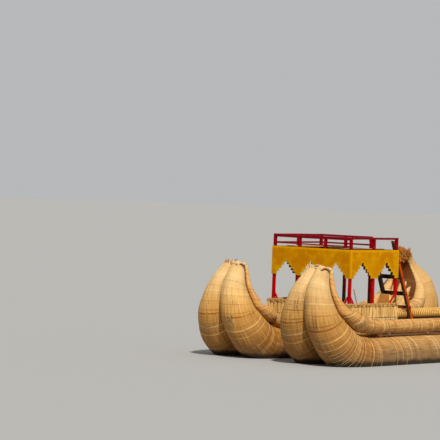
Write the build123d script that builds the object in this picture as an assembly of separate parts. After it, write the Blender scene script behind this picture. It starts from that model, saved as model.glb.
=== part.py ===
from build123d import *
import math
import os

# Twin-hull reed boat. Millimetres, +X to the bow, +Y to port, +Z up.
# Origin: under the middle of the whole boat, on the plane its hulls stand on.

os.makedirs("parts", exist_ok=True)

# ------------------------------------------------------------ driving sizes
HULL_Y = 1529.0            # centre plane of each hull from the boat's centre
SHIFT_X = 35.8             # moves everything so that the origin is mid-length
POLE_D = 80.0              # side pole under the outer gunwale roll

BEAM_BOTTOM = 1488.0       # crossbeams rest on the inner rolls and the hearts
BEAM_TOP = 1523.0
DECK_TOP = 1545.0
DECK_FRONT = 2530.0
DECK_AFT = -2430.0
DECK_SPLIT = -1560.0        # joint between the aft deck's two lengths of boards
BEAM_HALF = 1750.0

ROLL_Y = 970.0             # rolls along the aft deck
ROLL_R = 160.0
ROLL_LEN = 2801.0

CAB_FRONT = 2437.0         # outer faces of the yellow boards
CAB_REAR = 249.0
CAB_HALF = 1450.0
ARCH_Y = 907.0             # middle of the outer arches, front and rear
BOARD_T = 20.0
BOARD_BOTTOM = 2744.0
BOARD_TOP = 3544.0
POST = 78.0
RAIL_TOP = 3894.0
FRONT_RAIL_H = 87.0
SIDE_RAIL_H = 57.0
MID_RAIL_Z = 3650.0

WALL_T = 90.0              # reed bulwark
WALL_Y = 1540.0            # outer face of the side walls
WALL_X = 2530.0            # outer face of the front wall
WALL_AFT = 320.0
WALL_TOP = 2050.0

LEDGER_BOTTOM = 3110.0
JOIST_BOTTOM = 3200.0
FLOOR_BOTTOM = 3270.0
ROOF_TOP = 3295.0

# ------------------------------------------------------------ hull sections
# One row a section, from the bow horn's tip to the stern horn's tip.
# x, z: centre of the main bundle; yc: its distance from the hull's centre
# plane; R: its radius. The section planes stand across the bundle's path.
# og_*: outer gunwale roll: radius, angle outward from straight above the
# bundle (degrees), gap to the bundle. ig_*: inner gunwale roll, the same.
# hr: radius of the heart bundle in the trough, 0 where there is none.
#  x      z      yc    R    og_r og_a og_g ig_r ig_a ig_g hr
SECTIONS = [
 (3877, 3057, 139, 161,  60, 50.0,   8,  42, 50.0,  8,   0),
 (4209, 2392, 267, 360,  97, 46.0,   8,  92, 46.0,  8,  70),
 (4195, 1659, 445, 500, 165, 35.0,   8, 136, 35.0,  8, 160),
 (3760, 1049, 557, 583, 222, 25.0,   8, 166, 25.0,  8, 240),
 (3290,  768, 560, 594, 232, 15.0,  30, 186,  9.0,  8, 257),
 (2450,  584, 562, 584, 205,  8.0, 100, 155, 15.0,  8, 249),
 ( 900,  575, 552, 575, 188,  4.0, 102, 175, 14.0,  4, 262),
 (-920,  575, 552, 575, 188,  4.0, 102, 175, 14.0,  4, 262),
 (-2560, 584, 562, 584, 205,  8.0, 100, 155, 15.0,  8, 249),
 (-3300, 790, 580, 606, 232, 15.0,  30, 186,  9.0,  8, 257),
 (-3815, 1120, 573, 601, 215, 25.0,  8, 208, 25.0,  8, 240),
 (-4207.5, 1740, 505, 560, 162, 35.0,  8, 160, 35.0,  8, 160),
 (-4249.5, 2441, 350, 425,  95, 46.0,  8,  94, 46.0,  8,  70),
 (-3945, 3110, 139, 160,  40, 50.0,  8,  28, 50.0,  8,   0),
 (-3735, 3400, 145, 190,  40, 50.0,  8,  28, 50.0,  8,   0),
]
C_X, C_Z, C_YC, C_R, C_OR, C_OA, C_OG, C_IR, C_IA, C_IG, C_HR = range(11)

# arch steps cut in the boards, from the lower edge up: half width, height
FRONT_STEPS = [(350, 90), (270, 88), (180, 88), (95, 75), (40, 60)]
SIDE_STEPS = [(385, 88), (300, 88), (210, 88), (125, 88), (50, 88)]


def save(shape, name):
    shape.label = name
    export_step(shape, f"parts/{name}.step")


def group(solids):
    return Compound(children=list(solids)) if len(solids) > 1 else solids[0]


def block(x0, x1, y0, y1, z0, z1):
    return Pos((x0 + x1) / 2, (y0 + y1) / 2, (z0 + z1) / 2) * Box(
        abs(x1 - x0), abs(y1 - y0), abs(z1 - z0))


def tangents():
    # direction of the path at each section, in the X-Z plane
    out = []
    n = len(SECTIONS)
    for i in range(n):
        a = SECTIONS[max(i - 1, 0)]
        b = SECTIONS[min(i + 1, n - 1)]
        if 0 < i < n - 1:
            c = SECTIONS[i]
            # mean of the two unit chords
            l1 = math.hypot(c[0] - a[0], c[1] - a[1])
            l2 = math.hypot(b[0] - c[0], b[1] - c[1])
            dx = (c[0] - a[0]) / l1 + (b[0] - c[0]) / l2
            dz = (c[1] - a[1]) / l1 + (b[1] - c[1]) / l2
        else:
            dx, dz = b[0] - a[0], b[1] - a[1]
        l = math.hypot(dx, dz)
        out.append((dx / l, dz / l))
    return out


TANGENTS = tangents()


def section_plane(i, side, way):
    # way: +1 for the half away from the boat's centre, -1 for the inner half
    s = SECTIONS[i]
    tx, tz = TANGENTS[i]
    return Plane(origin=(s[C_X] + SHIFT_X, side * HULL_Y, s[C_Z]),
                 x_dir=(0, side * way, 0), z_dir=(tx, 0, tz))


def up_sign(side, way):
    # local v axis is z_dir x x_dir; +1 where it points to the inside of the curve
    return -1.0 if side * way > 0 else 1.0


def main_bundle(side, way):
    faces = []
    for i, s in enumerate(SECTIONS):
        yc, r = s[C_YC], s[C_R]
        h = math.sqrt(r * r - yc * yc)
        with BuildSketch(section_plane(i, side, way)) as sk:
            with BuildLine():
                ThreePointArc((0, h), (yc + r, 0), (0, -h))
                Line((0, -h), (0, h))
            make_face()
        faces.append(sk.sketch)
    return loft(faces, ruled=True)


def round_section(i, side, way, u, v, r):
    # a circle as three arcs, so that every section has its corners in line
    a3 = [2 * math.pi * k / 6 for k in range(7)]
    p = [(u + r * math.cos(a), v + r * math.sin(a)) for a in a3]
    with BuildSketch(section_plane(i, side, way)) as sk:
        with BuildLine():
            for k in (0, 2, 4):
                ThreePointArc(p[k], p[k + 1], p[k + 2])
        make_face()
    return sk.sketch


def roll(side, way, c_r, c_a, c_g):
    faces = []
    for i, s in enumerate(SECTIONS):
        d = s[C_R] + s[c_r] + s[c_g]
        a = math.radians(s[c_a])
        u = s[C_YC] + d * math.sin(a)
        v = d * math.cos(a) * up_sign(side, way)
        faces.append(round_section(i, side, way, u, v, s[c_r]))
    return loft(faces, ruled=True)


def heart(side):
    faces = []
    for i, s in enumerate(SECTIONS):
        hr = s[C_HR]
        if hr == 0:
            continue
        v = math.sqrt((s[C_R] + hr + 8) ** 2 - s[C_YC] ** 2)
        faces.append(round_section(i, side, 1, 0, v * up_sign(side, 1), hr))
    return loft(faces, ruled=True)


for side, name in ((1, "port"), (-1, "starboard")):
    save(main_bundle(side, 1), f"{name}_hull_outer_bundle")
    save(main_bundle(side, -1), f"{name}_hull_inner_bundle")
    save(roll(side, 1, C_OR, C_OA, C_OG), f"{name}_outer_gunwale")
    save(roll(side, -1, C_IR, C_IA, C_IG), f"{name}_inner_gunwale")
    save(heart(side), f"{name}_heart_bundle")
    # pole between the outer gunwale and the bundle, cut square at its ends
    pole = Cylinder(POLE_D / 2, 4300)
    save(Pos(SHIFT_X - 150, side * (HULL_Y + 620), 1209) * Rot(0, 90, 0) * pole,
         f"{name}_side_pole")

# ------------------------------------------------------------ deck
beams = []
for x in (-2250, -1400, -550, 300, 1200, 2150):
    beams.append(block(x - 45, x + 45, -BEAM_HALF, BEAM_HALF, BEAM_BOTTOM, BEAM_TOP))
save(group(beams), "deck_crossbeams")

save(block(CAB_REAR, DECK_FRONT, -BEAM_HALF + 180, BEAM_HALF - 180, BEAM_TOP, DECK_TOP),
     "cabin_deck")
aft = []
inner_edge = ROLL_Y - ROLL_R - 12
outer_edge = ROLL_Y + ROLL_R + 12
for a, b in ((DECK_AFT, DECK_SPLIT - 2), (DECK_SPLIT + 2, CAB_REAR - 4)):
    aft.append(block(a, b, -inner_edge, inner_edge, BEAM_TOP, DECK_TOP))
    for s in (1, -1):
        aft.append(block(a, b, s * outer_edge, s * (BEAM_HALF - 180), BEAM_TOP, DECK_TOP))
save(group(aft), "aft_deck")
for side, name in ((1, "port"), (-1, "starboard")):
    c = Cylinder(ROLL_R, ROLL_LEN)
    save(Pos(CAB_REAR - 8 - ROLL_LEN / 2, side * ROLL_Y, BEAM_TOP + ROLL_R) * Rot(0, 90, 0) * c,
         f"{name}_aft_roll")

# ------------------------------------------------------------ reed bulwark
save(block(WALL_X - WALL_T, WALL_X, -WALL_Y, WALL_Y, DECK_TOP, WALL_TOP), "front_reed_wall")
for side, name in ((1, "port"), (-1, "starboard")):
    save(block(WALL_AFT, WALL_X - WALL_T, side * (WALL_Y - WALL_T), side * WALL_Y,
               DECK_TOP, WALL_TOP), f"{name}_reed_wall")

# ------------------------------------------------------------ posts
POST_Y = CAB_HALF - BOARD_T - POST / 2
INNER_Y = 470.0
FRONT_X = CAB_FRONT - BOARD_T - POST / 2
REAR_X = CAB_REAR + BOARD_T + POST / 2
MID_X = (CAB_FRONT + CAB_REAR) / 2
FRONT_POST_TOP = RAIL_TOP - FRONT_RAIL_H
SIDE_POST_TOP = RAIL_TOP - SIDE_RAIL_H


def post(x, y, top):
    return block(x - POST / 2, x + POST / 2, y - POST / 2, y + POST / 2, DECK_TOP, top)


save(group([post(FRONT_X, y, FRONT_POST_TOP) for y in (POST_Y, INNER_Y, -INNER_Y, -POST_Y)]),
     "front_posts")
save(group([post(REAR_X, y, SIDE_POST_TOP) for y in (POST_Y, INNER_Y, -INNER_Y, -POST_Y)]),
     "rear_posts")
save(group([post(MID_X, y, SIDE_POST_TOP) for y in (POST_Y, -POST_Y)]), "side_posts")


# knee boards from a post's face down to the deck
# x, y of the start on the post's face; dx, dy direction; reach; height on the post
KNEES = [
    (FRONT_X - POST / 2, POST_Y, -1, 0, 508, 735),
    (FRONT_X, POST_Y - POST / 2, 0, -1, 508, 735),
    (FRONT_X, -POST_Y + POST / 2, 0, 1, 508, 735),
    (FRONT_X - POST / 2, -POST_Y, -1, 0, 508, 735),
    (REAR_X + POST / 2, POST_Y, 1, 0, 669, 745),
    (REAR_X + POST / 2, -POST_Y, 1, 0, 669, 745),
]


def knee(x, y, dx, dy, reach, height):
    w, t = 58.0, 34.0
    k = w / math.sin(math.atan2(reach, height))
    m = w / math.cos(math.atan2(reach, height))
    with BuildSketch(Plane(origin=(x, y, DECK_TOP), x_dir=(dx, dy, 0),
                           z_dir=(dy, -dx, 0))) as sk:
        with BuildLine():
            Polyline((0, height), (0, height - k), (reach - m, 0), (reach, 0), close=True)
        make_face()
    return extrude(sk.sketch, t / 2, both=True)


save(group([knee(*k) for k in KNEES]), "post_knees")


# ------------------------------------------------------------ yellow boards
def stepped_board(length, centres, steps):
    # in the X-Z plane, centred on X = 0, lower edge at Z = 0, thickness +Y
    with BuildSketch(Plane.XZ) as sk:
        with Locations((0, (BOARD_TOP - BOARD_BOTTOM) / 2)):
            Rectangle(length, BOARD_TOP - BOARD_BOTTOM)
        for c in centres:
            z = 0.0
            for half, h in steps:
                with Locations((c, z + h / 2)):
                    Rectangle(2 * half, h, mode=Mode.SUBTRACT)
                z += h
    b = extrude(sk.sketch, BOARD_T / 2, both=True)
    return b


bay_s = (CAB_FRONT - CAB_REAR) / 2
front = stepped_board(2 * CAB_HALF, (-ARCH_Y, 0, ARCH_Y), FRONT_STEPS)
save(Pos(CAB_FRONT - BOARD_T / 2, 0, BOARD_BOTTOM) * Rot(0, 0, 90) * front, "front_board")
save(Pos(CAB_REAR + BOARD_T / 2, 0, BOARD_BOTTOM) * Rot(0, 0, 90) * front, "rear_board")
side_len = CAB_FRONT - CAB_REAR - 2 * BOARD_T
sideb = stepped_board(side_len, (-bay_s / 2, bay_s / 2), SIDE_STEPS)
for side, name in ((1, "port"), (-1, "starboard")):
    save(Pos(MID_X, side * (CAB_HALF - BOARD_T / 2), BOARD_BOTTOM) * sideb, f"{name}_board")

# ------------------------------------------------------------ roof
in_y = POST_Y - POST / 2
x0 = REAR_X - POST / 2
x1 = FRONT_X + POST / 2
save(group([block(x0, x1, s * (in_y - 40), s * in_y, LEDGER_BOTTOM, JOIST_BOTTOM)
            for s in (1, -1)]), "roof_ledgers")
joists = []
for i in range(6):
    x = x0 + POST + 35 + (x1 - x0 - 2 * POST - 70) * i / 5
    joists.append(block(x - 30, x + 30, -in_y, in_y, JOIST_BOTTOM, FLOOR_BOTTOM))
save(group(joists), "roof_joists")
save(block(x0 + POST, x1 - POST, -in_y, in_y, FLOOR_BOTTOM, ROOF_TOP), "roof_floor")

# ------------------------------------------------------------ railing
save(block(x1 - POST, x1, -(POST_Y + POST / 2), POST_Y + POST / 2, FRONT_POST_TOP, RAIL_TOP),
     "front_top_rail")
for side, name in ((1, "port"), (-1, "starboard")):
    save(block(x0, x1 - POST, side * (POST_Y - POST / 2), side * (POST_Y + POST / 2),
               SIDE_POST_TOP, RAIL_TOP), f"{name}_top_rail")
save(block(x0, x0 + POST, -(POST_Y - POST / 2), INNER_Y + POST / 2, SIDE_POST_TOP, RAIL_TOP),
     "rear_top_rail")
mids = []
for a, b in ((x0 + POST, MID_X - POST / 2), (MID_X + POST / 2, x1 - POST)):
    mids.append(block(a, b, -POST_Y - 17, -POST_Y + 17, MID_RAIL_Z - 24, MID_RAIL_Z + 24))
save(group(mids), "starboard_mid_rails")
mids = []
for a, b in ((-POST_Y, -INNER_Y), (-INNER_Y, INNER_Y)):
    mids.append(block(REAR_X - 17, REAR_X + 17, a + POST / 2, b - POST / 2,
                      MID_RAIL_Z - 24, MID_RAIL_Z + 24))
save(group(mids), "rear_mid_rails")
mids = []
for a, b in ((-POST_Y, -INNER_Y), (-INNER_Y, INNER_Y), (INNER_Y, POST_Y)):
    mids.append(block(FRONT_X - 17, FRONT_X + 17, a + POST / 2, b - POST / 2,
                      MID_RAIL_Z - 27, MID_RAIL_Z + 7))
save(group(mids), "front_mid_rails")

# ------------------------------------------------------------ ladder
LAD_FOOT_X = -743.5
LAD_SLOPE = 0.4267
LAD_TOP = 3800.0
LAD_YS = (395.0, 1195.0)
LAD_D = 90.0               # depth of a stringer, along X
LAD_W = 105.0              # width of a stringer, along Y
TREADS = [(1885, 70), (2275, 100), (2750, 100), (3190, 100)]   # middle, depth of the board


def stringer(y):
    def xa(z):
        return LAD_FOOT_X + (z - DECK_TOP) * LAD_SLOPE
    d = LAD_D / 2 / math.cos(math.atan(LAD_SLOPE))
    with BuildSketch(Plane.XZ.offset(-y)) as sk:
        with BuildLine():
            Polyline((xa(DECK_TOP) - d, DECK_TOP), (xa(DECK_TOP) + d, DECK_TOP),
                     (xa(LAD_TOP) + d, LAD_TOP), (xa(LAD_TOP) - d, LAD_TOP), close=True)
        make_face()
    return extrude(sk.sketch, LAD_W / 2, both=True)


save(group([stringer(y) for y in LAD_YS]), "ladder_stringers")
treads = []
for z, h in TREADS:
    x = LAD_FOOT_X + (z - DECK_TOP) * LAD_SLOPE
    treads.append(block(x - 24, x + 24, LAD_YS[0] + LAD_W / 2, LAD_YS[1] - LAD_W / 2,
                        z - h / 2, z + h / 2))
save(group(treads), "ladder_treads")

# ------------------------------------------------------------ seats
SEAT_TOP = 2010.0
for side, name in ((1, "port"), (-1, "starboard")):
    s = side
    y_out = POST_Y - POST / 2 - 40
    seat = [block(620, 2250, s * (y_out - 330), s * y_out, SEAT_TOP - 30, SEAT_TOP)]
    for x in (760, 1430, 2110):
        seat.append(block(x - 30, x + 30, s * (y_out - 300), s * (y_out - 30),
                          DECK_TOP, SEAT_TOP - 30))
    save(seat[0] + seat[1] + seat[2] + seat[3], f"{name}_seat")

# sloping ochre back board behind the port seat's aft end
with BuildSketch(Plane.YZ.offset(420)) as sk:
    with BuildLine():
        Polyline((850, 1960), (1290, 1960), (1290, 2280), (960, 2280), close=True)
    make_face()
save(extrude(sk.sketch, 22), "seat_end_board")

UP_TOP = 3570.0
for side, name in ((1, "port"), (-1, "starboard")):
    s = side
    bench = block(520, 2180, s * 830, s * 1130, UP_TOP - 30, UP_TOP)
    for x in (640, 1350, 2060):
        bench += block(x - 25, x + 25, s * 860, s * 1100, ROOF_TOP, UP_TOP - 30)
    save(bench, f"{name}_upper_bench")

# ------------------------------------------------------------ punting pole stub
p0 = Vector(-1175, -1300, 2260)
p1 = Vector(-1473, -1300, DECK_TOP + 8)
axis = (p1 - p0)
pl = Plane(origin=p0, z_dir=axis.normalized())
with BuildSketch(pl) as sk:
    Circle(17)
save(extrude(sk.sketch, axis.length), "pole_stub")
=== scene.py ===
import math
import bpy
import bmesh
import numpy as np
from mathutils import Matrix, Vector


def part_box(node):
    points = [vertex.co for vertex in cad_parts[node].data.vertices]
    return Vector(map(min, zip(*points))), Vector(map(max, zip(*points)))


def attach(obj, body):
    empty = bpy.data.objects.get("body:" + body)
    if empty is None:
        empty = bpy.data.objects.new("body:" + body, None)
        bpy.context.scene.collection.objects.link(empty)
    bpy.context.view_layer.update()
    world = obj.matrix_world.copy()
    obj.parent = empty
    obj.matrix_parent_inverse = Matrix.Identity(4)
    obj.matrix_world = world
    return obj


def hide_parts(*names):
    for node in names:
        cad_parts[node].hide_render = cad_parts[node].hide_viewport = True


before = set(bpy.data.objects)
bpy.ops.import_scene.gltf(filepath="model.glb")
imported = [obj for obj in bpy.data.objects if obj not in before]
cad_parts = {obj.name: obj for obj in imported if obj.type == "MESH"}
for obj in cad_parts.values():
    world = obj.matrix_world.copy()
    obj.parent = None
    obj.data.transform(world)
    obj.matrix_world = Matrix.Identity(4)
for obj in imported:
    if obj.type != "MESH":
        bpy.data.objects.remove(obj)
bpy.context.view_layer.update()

for _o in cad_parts.values():
    _o.data.materials.clear()

# =====================================================================
# sizes, in metres, as the construction has them
HY = 1.5290                # hull centre plane from the boat's centre
SX = 0.0358
WATER = 0.395
#  x      z      yc    R    og_r og_a og_g ig_r ig_a ig_g hr
SECTIONS = np.array([
 (3877, 3057, 139, 161,  60, 50.0,   8,  42, 50.0,  8,   0),
 (4209, 2392, 267, 360,  97, 46.0,   8,  92, 46.0,  8,  70),
 (4195, 1659, 445, 500, 165, 35.0,   8, 136, 35.0,  8, 160),
 (3760, 1049, 557, 583, 222, 25.0,   8, 166, 25.0,  8, 240),
 (3290,  768, 560, 594, 232, 15.0,  30, 186,  9.0,  8, 257),
 (2450,  584, 562, 584, 205,  8.0, 100, 155, 15.0,  8, 249),
 ( 900,  575, 552, 575, 188,  4.0, 102, 175, 14.0,  4, 262),
 (-920,  575, 552, 575, 188,  4.0, 102, 175, 14.0,  4, 262),
 (-2560, 584, 562, 584, 205,  8.0, 100, 155, 15.0,  8, 249),
 (-3300, 790, 580, 606, 232, 15.0,  30, 186,  9.0,  8, 257),
 (-3815, 1120, 573, 601, 215, 25.0,  8, 208, 25.0,  8, 240),
 (-4207.5, 1740, 505, 560, 162, 35.0,  8, 160, 35.0,  8, 160),
 (-4249.5, 2441, 350, 425,  95, 46.0,  8,  94, 46.0,  8,  70),
 (-3945, 3110, 139, 160,  40, 50.0,  8,  28, 50.0,  8,   0),
 (-3735, 3400, 145, 190,  40, 50.0,  8,  28, 50.0,  8,   0),
], float)
for _c in (0, 1, 2, 3, 4, 6, 7, 9, 10):
    SECTIONS[:, _c] /= 1000.0
SECTIONS[:, 0] += SX

BEAM_BOTTOM, BEAM_TOP, DECK_TOP = 1.488, 1.523, 1.545
CAB_FRONT, CAB_REAR, CAB_HALF = 2.437, 0.249, 1.450
BOARD_T, BOARD_BOTTOM, BOARD_TOP = 0.020, 2.744, 3.544
POST, RAIL_TOP = 0.078, 3.894
POST_Y = CAB_HALF - BOARD_T - POST / 2
INNER_Y, ARCH_Y = 0.470, 0.907
FRONT_X = CAB_FRONT - BOARD_T - POST / 2
REAR_X = CAB_REAR + BOARD_T + POST / 2
MID_X = (CAB_FRONT + CAB_REAR) / 2
FRONT_STEPS = [(.350, .090), (.270, .088), (.180, .088), (.095, .075), (.040, .060)]
SIDE_STEPS = [(.385, .088), (.300, .088), (.210, .088), (.125, .088), (.050, .088)]

RNG = np.random.default_rng(20261)


# =====================================================================
# small tools
class Spline:
    """Natural cubic spline through values at rising knots."""

    def __init__(self, t, y):
        t, y = np.asarray(t, float), np.asarray(y, float)
        n = len(t)
        h = np.diff(t)
        A = np.zeros((n, n))
        b = np.zeros(n)
        A[0, 0] = A[-1, -1] = 1
        for i in range(1, n - 1):
            A[i, i - 1], A[i, i], A[i, i + 1] = h[i - 1], 2 * (h[i - 1] + h[i]), h[i]
            b[i] = 6 * ((y[i + 1] - y[i]) / h[i] - (y[i] - y[i - 1]) / h[i - 1])
        self.m = np.linalg.solve(A, b)
        self.t, self.y, self.h = t, y, h

    def __call__(self, s, d=0):
        s = np.asarray(s, float)
        i = np.clip(np.searchsorted(self.t, s) - 1, 0, len(self.h) - 1)
        h, m0, m1 = self.h[i], self.m[i], self.m[i + 1]
        a, b = self.t[i + 1] - s, s - self.t[i]
        y0, y1 = self.y[i], self.y[i + 1]
        if d == 0:
            return (m0 * a ** 3 + m1 * b ** 3) / (6 * h) + (y0 / h - m0 * h / 6) * a + (y1 / h - m1 * h / 6) * b
        return (-m0 * a ** 2 + m1 * b ** 2) / (2 * h) + (y1 - y0) / h - (m1 - m0) * h / 6


class Mono:
    """Cubic through values at rising knots, never beyond them between two knots."""

    def __init__(self, t, y):
        t, y = np.asarray(t, float), np.asarray(y, float)
        h, d = np.diff(t), np.diff(y) / np.diff(t)
        m = np.zeros(len(t))
        m[0], m[-1] = d[0], d[-1]
        for i in range(1, len(t) - 1):
            if d[i - 1] * d[i] > 0:
                a, b = 2 * h[i] + h[i - 1], h[i] + 2 * h[i - 1]
                m[i] = (a + b) / (a / d[i - 1] + b / d[i])
        self.t, self.y, self.m, self.h = t, y, m, h

    def __call__(self, s, d=0):
        s = np.asarray(s, float)
        i = np.clip(np.searchsorted(self.t, s) - 1, 0, len(self.h) - 1)
        h = self.h[i]
        x = (s - self.t[i]) / h
        y0, y1, m0, m1 = self.y[i], self.y[i + 1], self.m[i] * h, self.m[i + 1] * h
        if d == 0:
            return y0 * (2 * x ** 3 - 3 * x ** 2 + 1) + m0 * (x ** 3 - 2 * x ** 2 + x) + y1 * (3 * x ** 2 - 2 * x ** 3) + m1 * (x ** 3 - x ** 2)
        return ((y1 - y0) * (6 * x - 6 * x ** 2) + m0 * (3 * x ** 2 - 4 * x + 1) + m1 * (3 * x ** 2 - 2 * x)) / h


class Table:
    """Values on a fine grid, and their slope."""

    def __init__(self, t, y):
        self.t, self.y, self.g = t, y, np.gradient(y, t)

    def __call__(self, s, d=0):
        return np.interp(s, self.t, self.g if d else self.y)


def soft_path(knots, y, curve, sigma=0.16, part=0.62):
    """A curve close to the chords between the sections, with the corners eased."""
    g = np.arange(-0.6, knots[-1] + 0.6, 0.005)
    lin = np.interp(g, knots, y)
    lin = np.where(g < 0, y[0] + g * (y[1] - y[0]) / (knots[1] - knots[0]), lin)
    lin = np.where(g > knots[-1], y[-1] + (g - knots[-1]) * (y[-1] - y[-2]) / (knots[-1] - knots[-2]), lin)
    k = np.exp(-0.5 * (np.arange(-0.5, 0.5001, 0.005) / sigma) ** 2)
    sm = np.convolve(np.pad(lin, len(k) // 2, mode="edge"), k / k.sum(), "valid")
    keep = (g >= 0) & (g <= knots[-1])
    return Table(g[keep], part * sm[keep] + (1 - part) * curve(g[keep]))


def wobble(n, sigma, rng, closed=False):
    """Smooth random values, about unit size."""
    v = rng.normal(size=n + (0 if closed else 6 * int(sigma) + 2))
    k = np.exp(-0.5 * (np.arange(-int(3 * sigma), int(3 * sigma) + 1) / max(sigma, 1e-6)) ** 2)
    if closed:
        f = np.fft.rfft(v)
        kk = np.zeros(n)
        kk[:len(k)] = k[:n]
        v = np.fft.irfft(f * np.fft.rfft(kk), n)
    else:
        v = np.convolve(v, k, "same")[3 * int(sigma) + 1:][:n]
    v -= v.mean()
    return v / (v.std() + 1e-9)


def smooth_rows(a, sigma):
    k = np.exp(-0.5 * (np.arange(-int(3 * sigma), int(3 * sigma) + 1) / sigma) ** 2)
    k /= k.sum()
    pad = len(k) // 2
    b = np.pad(a, ((pad, pad), (0, 0)), mode="reflect")
    out = np.zeros_like(a)
    for i, w in enumerate(k):
        out += w * b[i:i + a.shape[0]]
    return out


class Mesh:
    """Collects closed shells, each with its own attributes, into one mesh."""

    def __init__(self):
        self.V, self.F, self.M, self.UV = [], [], [], []
        self.A = {}
        self.n = 0

    def add(self, V, faces, mat=0, uv=None, flip=None, **attrs):
        """faces: list of (m, k) index arrays; uv: list of (m, k, 2) arrays alike; attrs: per vertex or a number."""
        V = np.asarray(V, float).reshape(-1, 3)
        faces = [np.asarray(f, int) for f in faces if len(f)]
        if uv is None:
            uv = [np.zeros(f.shape + (2,)) for f in faces]
        if flip is None:
            vol = 0.0
            c = V.mean(0)
            for f in faces:
                p = V[f] - c
                for k in range(1, f.shape[1] - 1):
                    vol += np.einsum("ij,ij->i", p[:, 0], np.cross(p[:, k], p[:, k + 1])).sum()
            flip = vol < 0
        if flip:
            faces = [f[:, ::-1] for f in faces]
            uv = [u[:, ::-1] for u in uv]
        n = len(V)
        self.V.append(V)
        for f, u in zip(faces, uv):
            self.F.append(f + self.n)
            self.UV.append(u)
            self.M.append(np.full(len(f), mat) if np.isscalar(mat) else np.asarray(mat))
        for k in attrs:
            if k not in self.A:
                self.A[k] = [np.zeros(self.n)] if self.n else []
        for k in self.A:
            v = attrs.get(k, 0.0)
            self.A[k].append(np.full(n, float(v)) if np.isscalar(v) else np.asarray(v, float).ravel())
        self.n += n

    def object(self, name, mats, slot, node=None, smooth=35.0, body="root"):
        V = np.concatenate(self.V)
        me = bpy.data.meshes.new(name)
        polys, uvs, mi = [], [], []
        for f, u, m in zip(self.F, self.UV, self.M):
            polys += f.tolist()
            uvs.append(u.reshape(-1, 2))
            mi.append(m)
        me.from_pydata(V.tolist(), [], polys)
        me.polygons.foreach_set("material_index", np.concatenate(mi).astype(np.int32))
        lay = me.uv_layers.new(name="strand")
        lay.data.foreach_set("uv", np.concatenate(uvs).astype(np.float32).ravel())
        for k, v in self.A.items():
            a = me.attributes.new(k, "FLOAT", "POINT")
            a.data.foreach_set("value", np.concatenate(v).astype(np.float32))
        for m in mats:
            me.materials.append(m)
        me.update()
        if smooth:
            me.shade_smooth()
            if smooth < 179:
                me.set_sharp_from_angle(angle=math.radians(smooth))
        ob = bpy.data.objects.new(name, me)
        bpy.context.scene.collection.objects.link(ob)
        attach(ob, body)
        if node:
            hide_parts(*([node] if isinstance(node, str) else node))
        return ob


def tube(m, P, R, sides=6, ref=(0, 0, 1), closed=False, mat=0, cap=True, phase=0.0, aspect=1.0, **attrs):
    """A tube along the points P with radii R."""
    P = np.asarray(P, float)
    n = len(P)
    R = np.broadcast_to(np.asarray(R, float), (n,))
    if closed:
        T = np.roll(P, -1, 0) - np.roll(P, 1, 0)
    else:
        T = np.gradient(P, axis=0)
    T /= np.linalg.norm(T, axis=1)[:, None] + 1e-12
    ref = np.asarray(ref, float)
    ref = np.broadcast_to(ref, (n, 3))
    N = np.cross(T, ref)
    N /= np.linalg.norm(N, axis=1)[:, None] + 1e-12
    B = np.cross(T, N)
    a = phase + 2 * np.pi * np.arange(sides) / sides
    V = (P[:, None] + R[:, None, None] * (np.cos(a)[None, :, None] * N[:, None] * aspect + np.sin(a)[None, :, None] * B[:, None]))
    L = np.r_[0, np.cumsum(np.linalg.norm(np.diff(P, axis=0), axis=1))]
    i = np.arange(n if closed else n - 1)
    j = np.arange(sides)
    I, J = np.meshgrid(i, j, indexing="ij")
    I2, J2 = (I + 1) % n, (J + 1) % sides
    q = np.stack([I * sides + J, I * sides + J2, I2 * sides + J2, I2 * sides + J], -1).reshape(-1, 4)
    rm = float(R.mean())
    du = 2 * np.pi * rm / sides
    Ln = np.r_[L, L[-1] + np.linalg.norm(P[0] - P[-1])] if closed else L
    uv = np.stack([np.stack([J * du, Ln[I]], -1), np.stack([(J + 1) * du, Ln[I]], -1),
                   np.stack([(J + 1) * du, Ln[I + 1]], -1), np.stack([J * du, Ln[I + 1]], -1)], 2).reshape(-1, 4, 2)
    F, U = [q], [uv]
    V = V.reshape(-1, 3)
    if not closed and cap:
        F.append(np.arange(sides)[None, ::-1])
        F.append((n - 1) * sides + np.arange(sides)[None, :])
        cu = np.stack([rm * np.cos(a), rm * np.sin(a)], -1)[None]
        U += [cu[:, ::-1], cu]
    for k, v in list(attrs.items()):
        if not np.isscalar(v):
            attrs[k] = np.repeat(np.asarray(v, float), sides)
    m.add(V, F, mat, U, **attrs)


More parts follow.
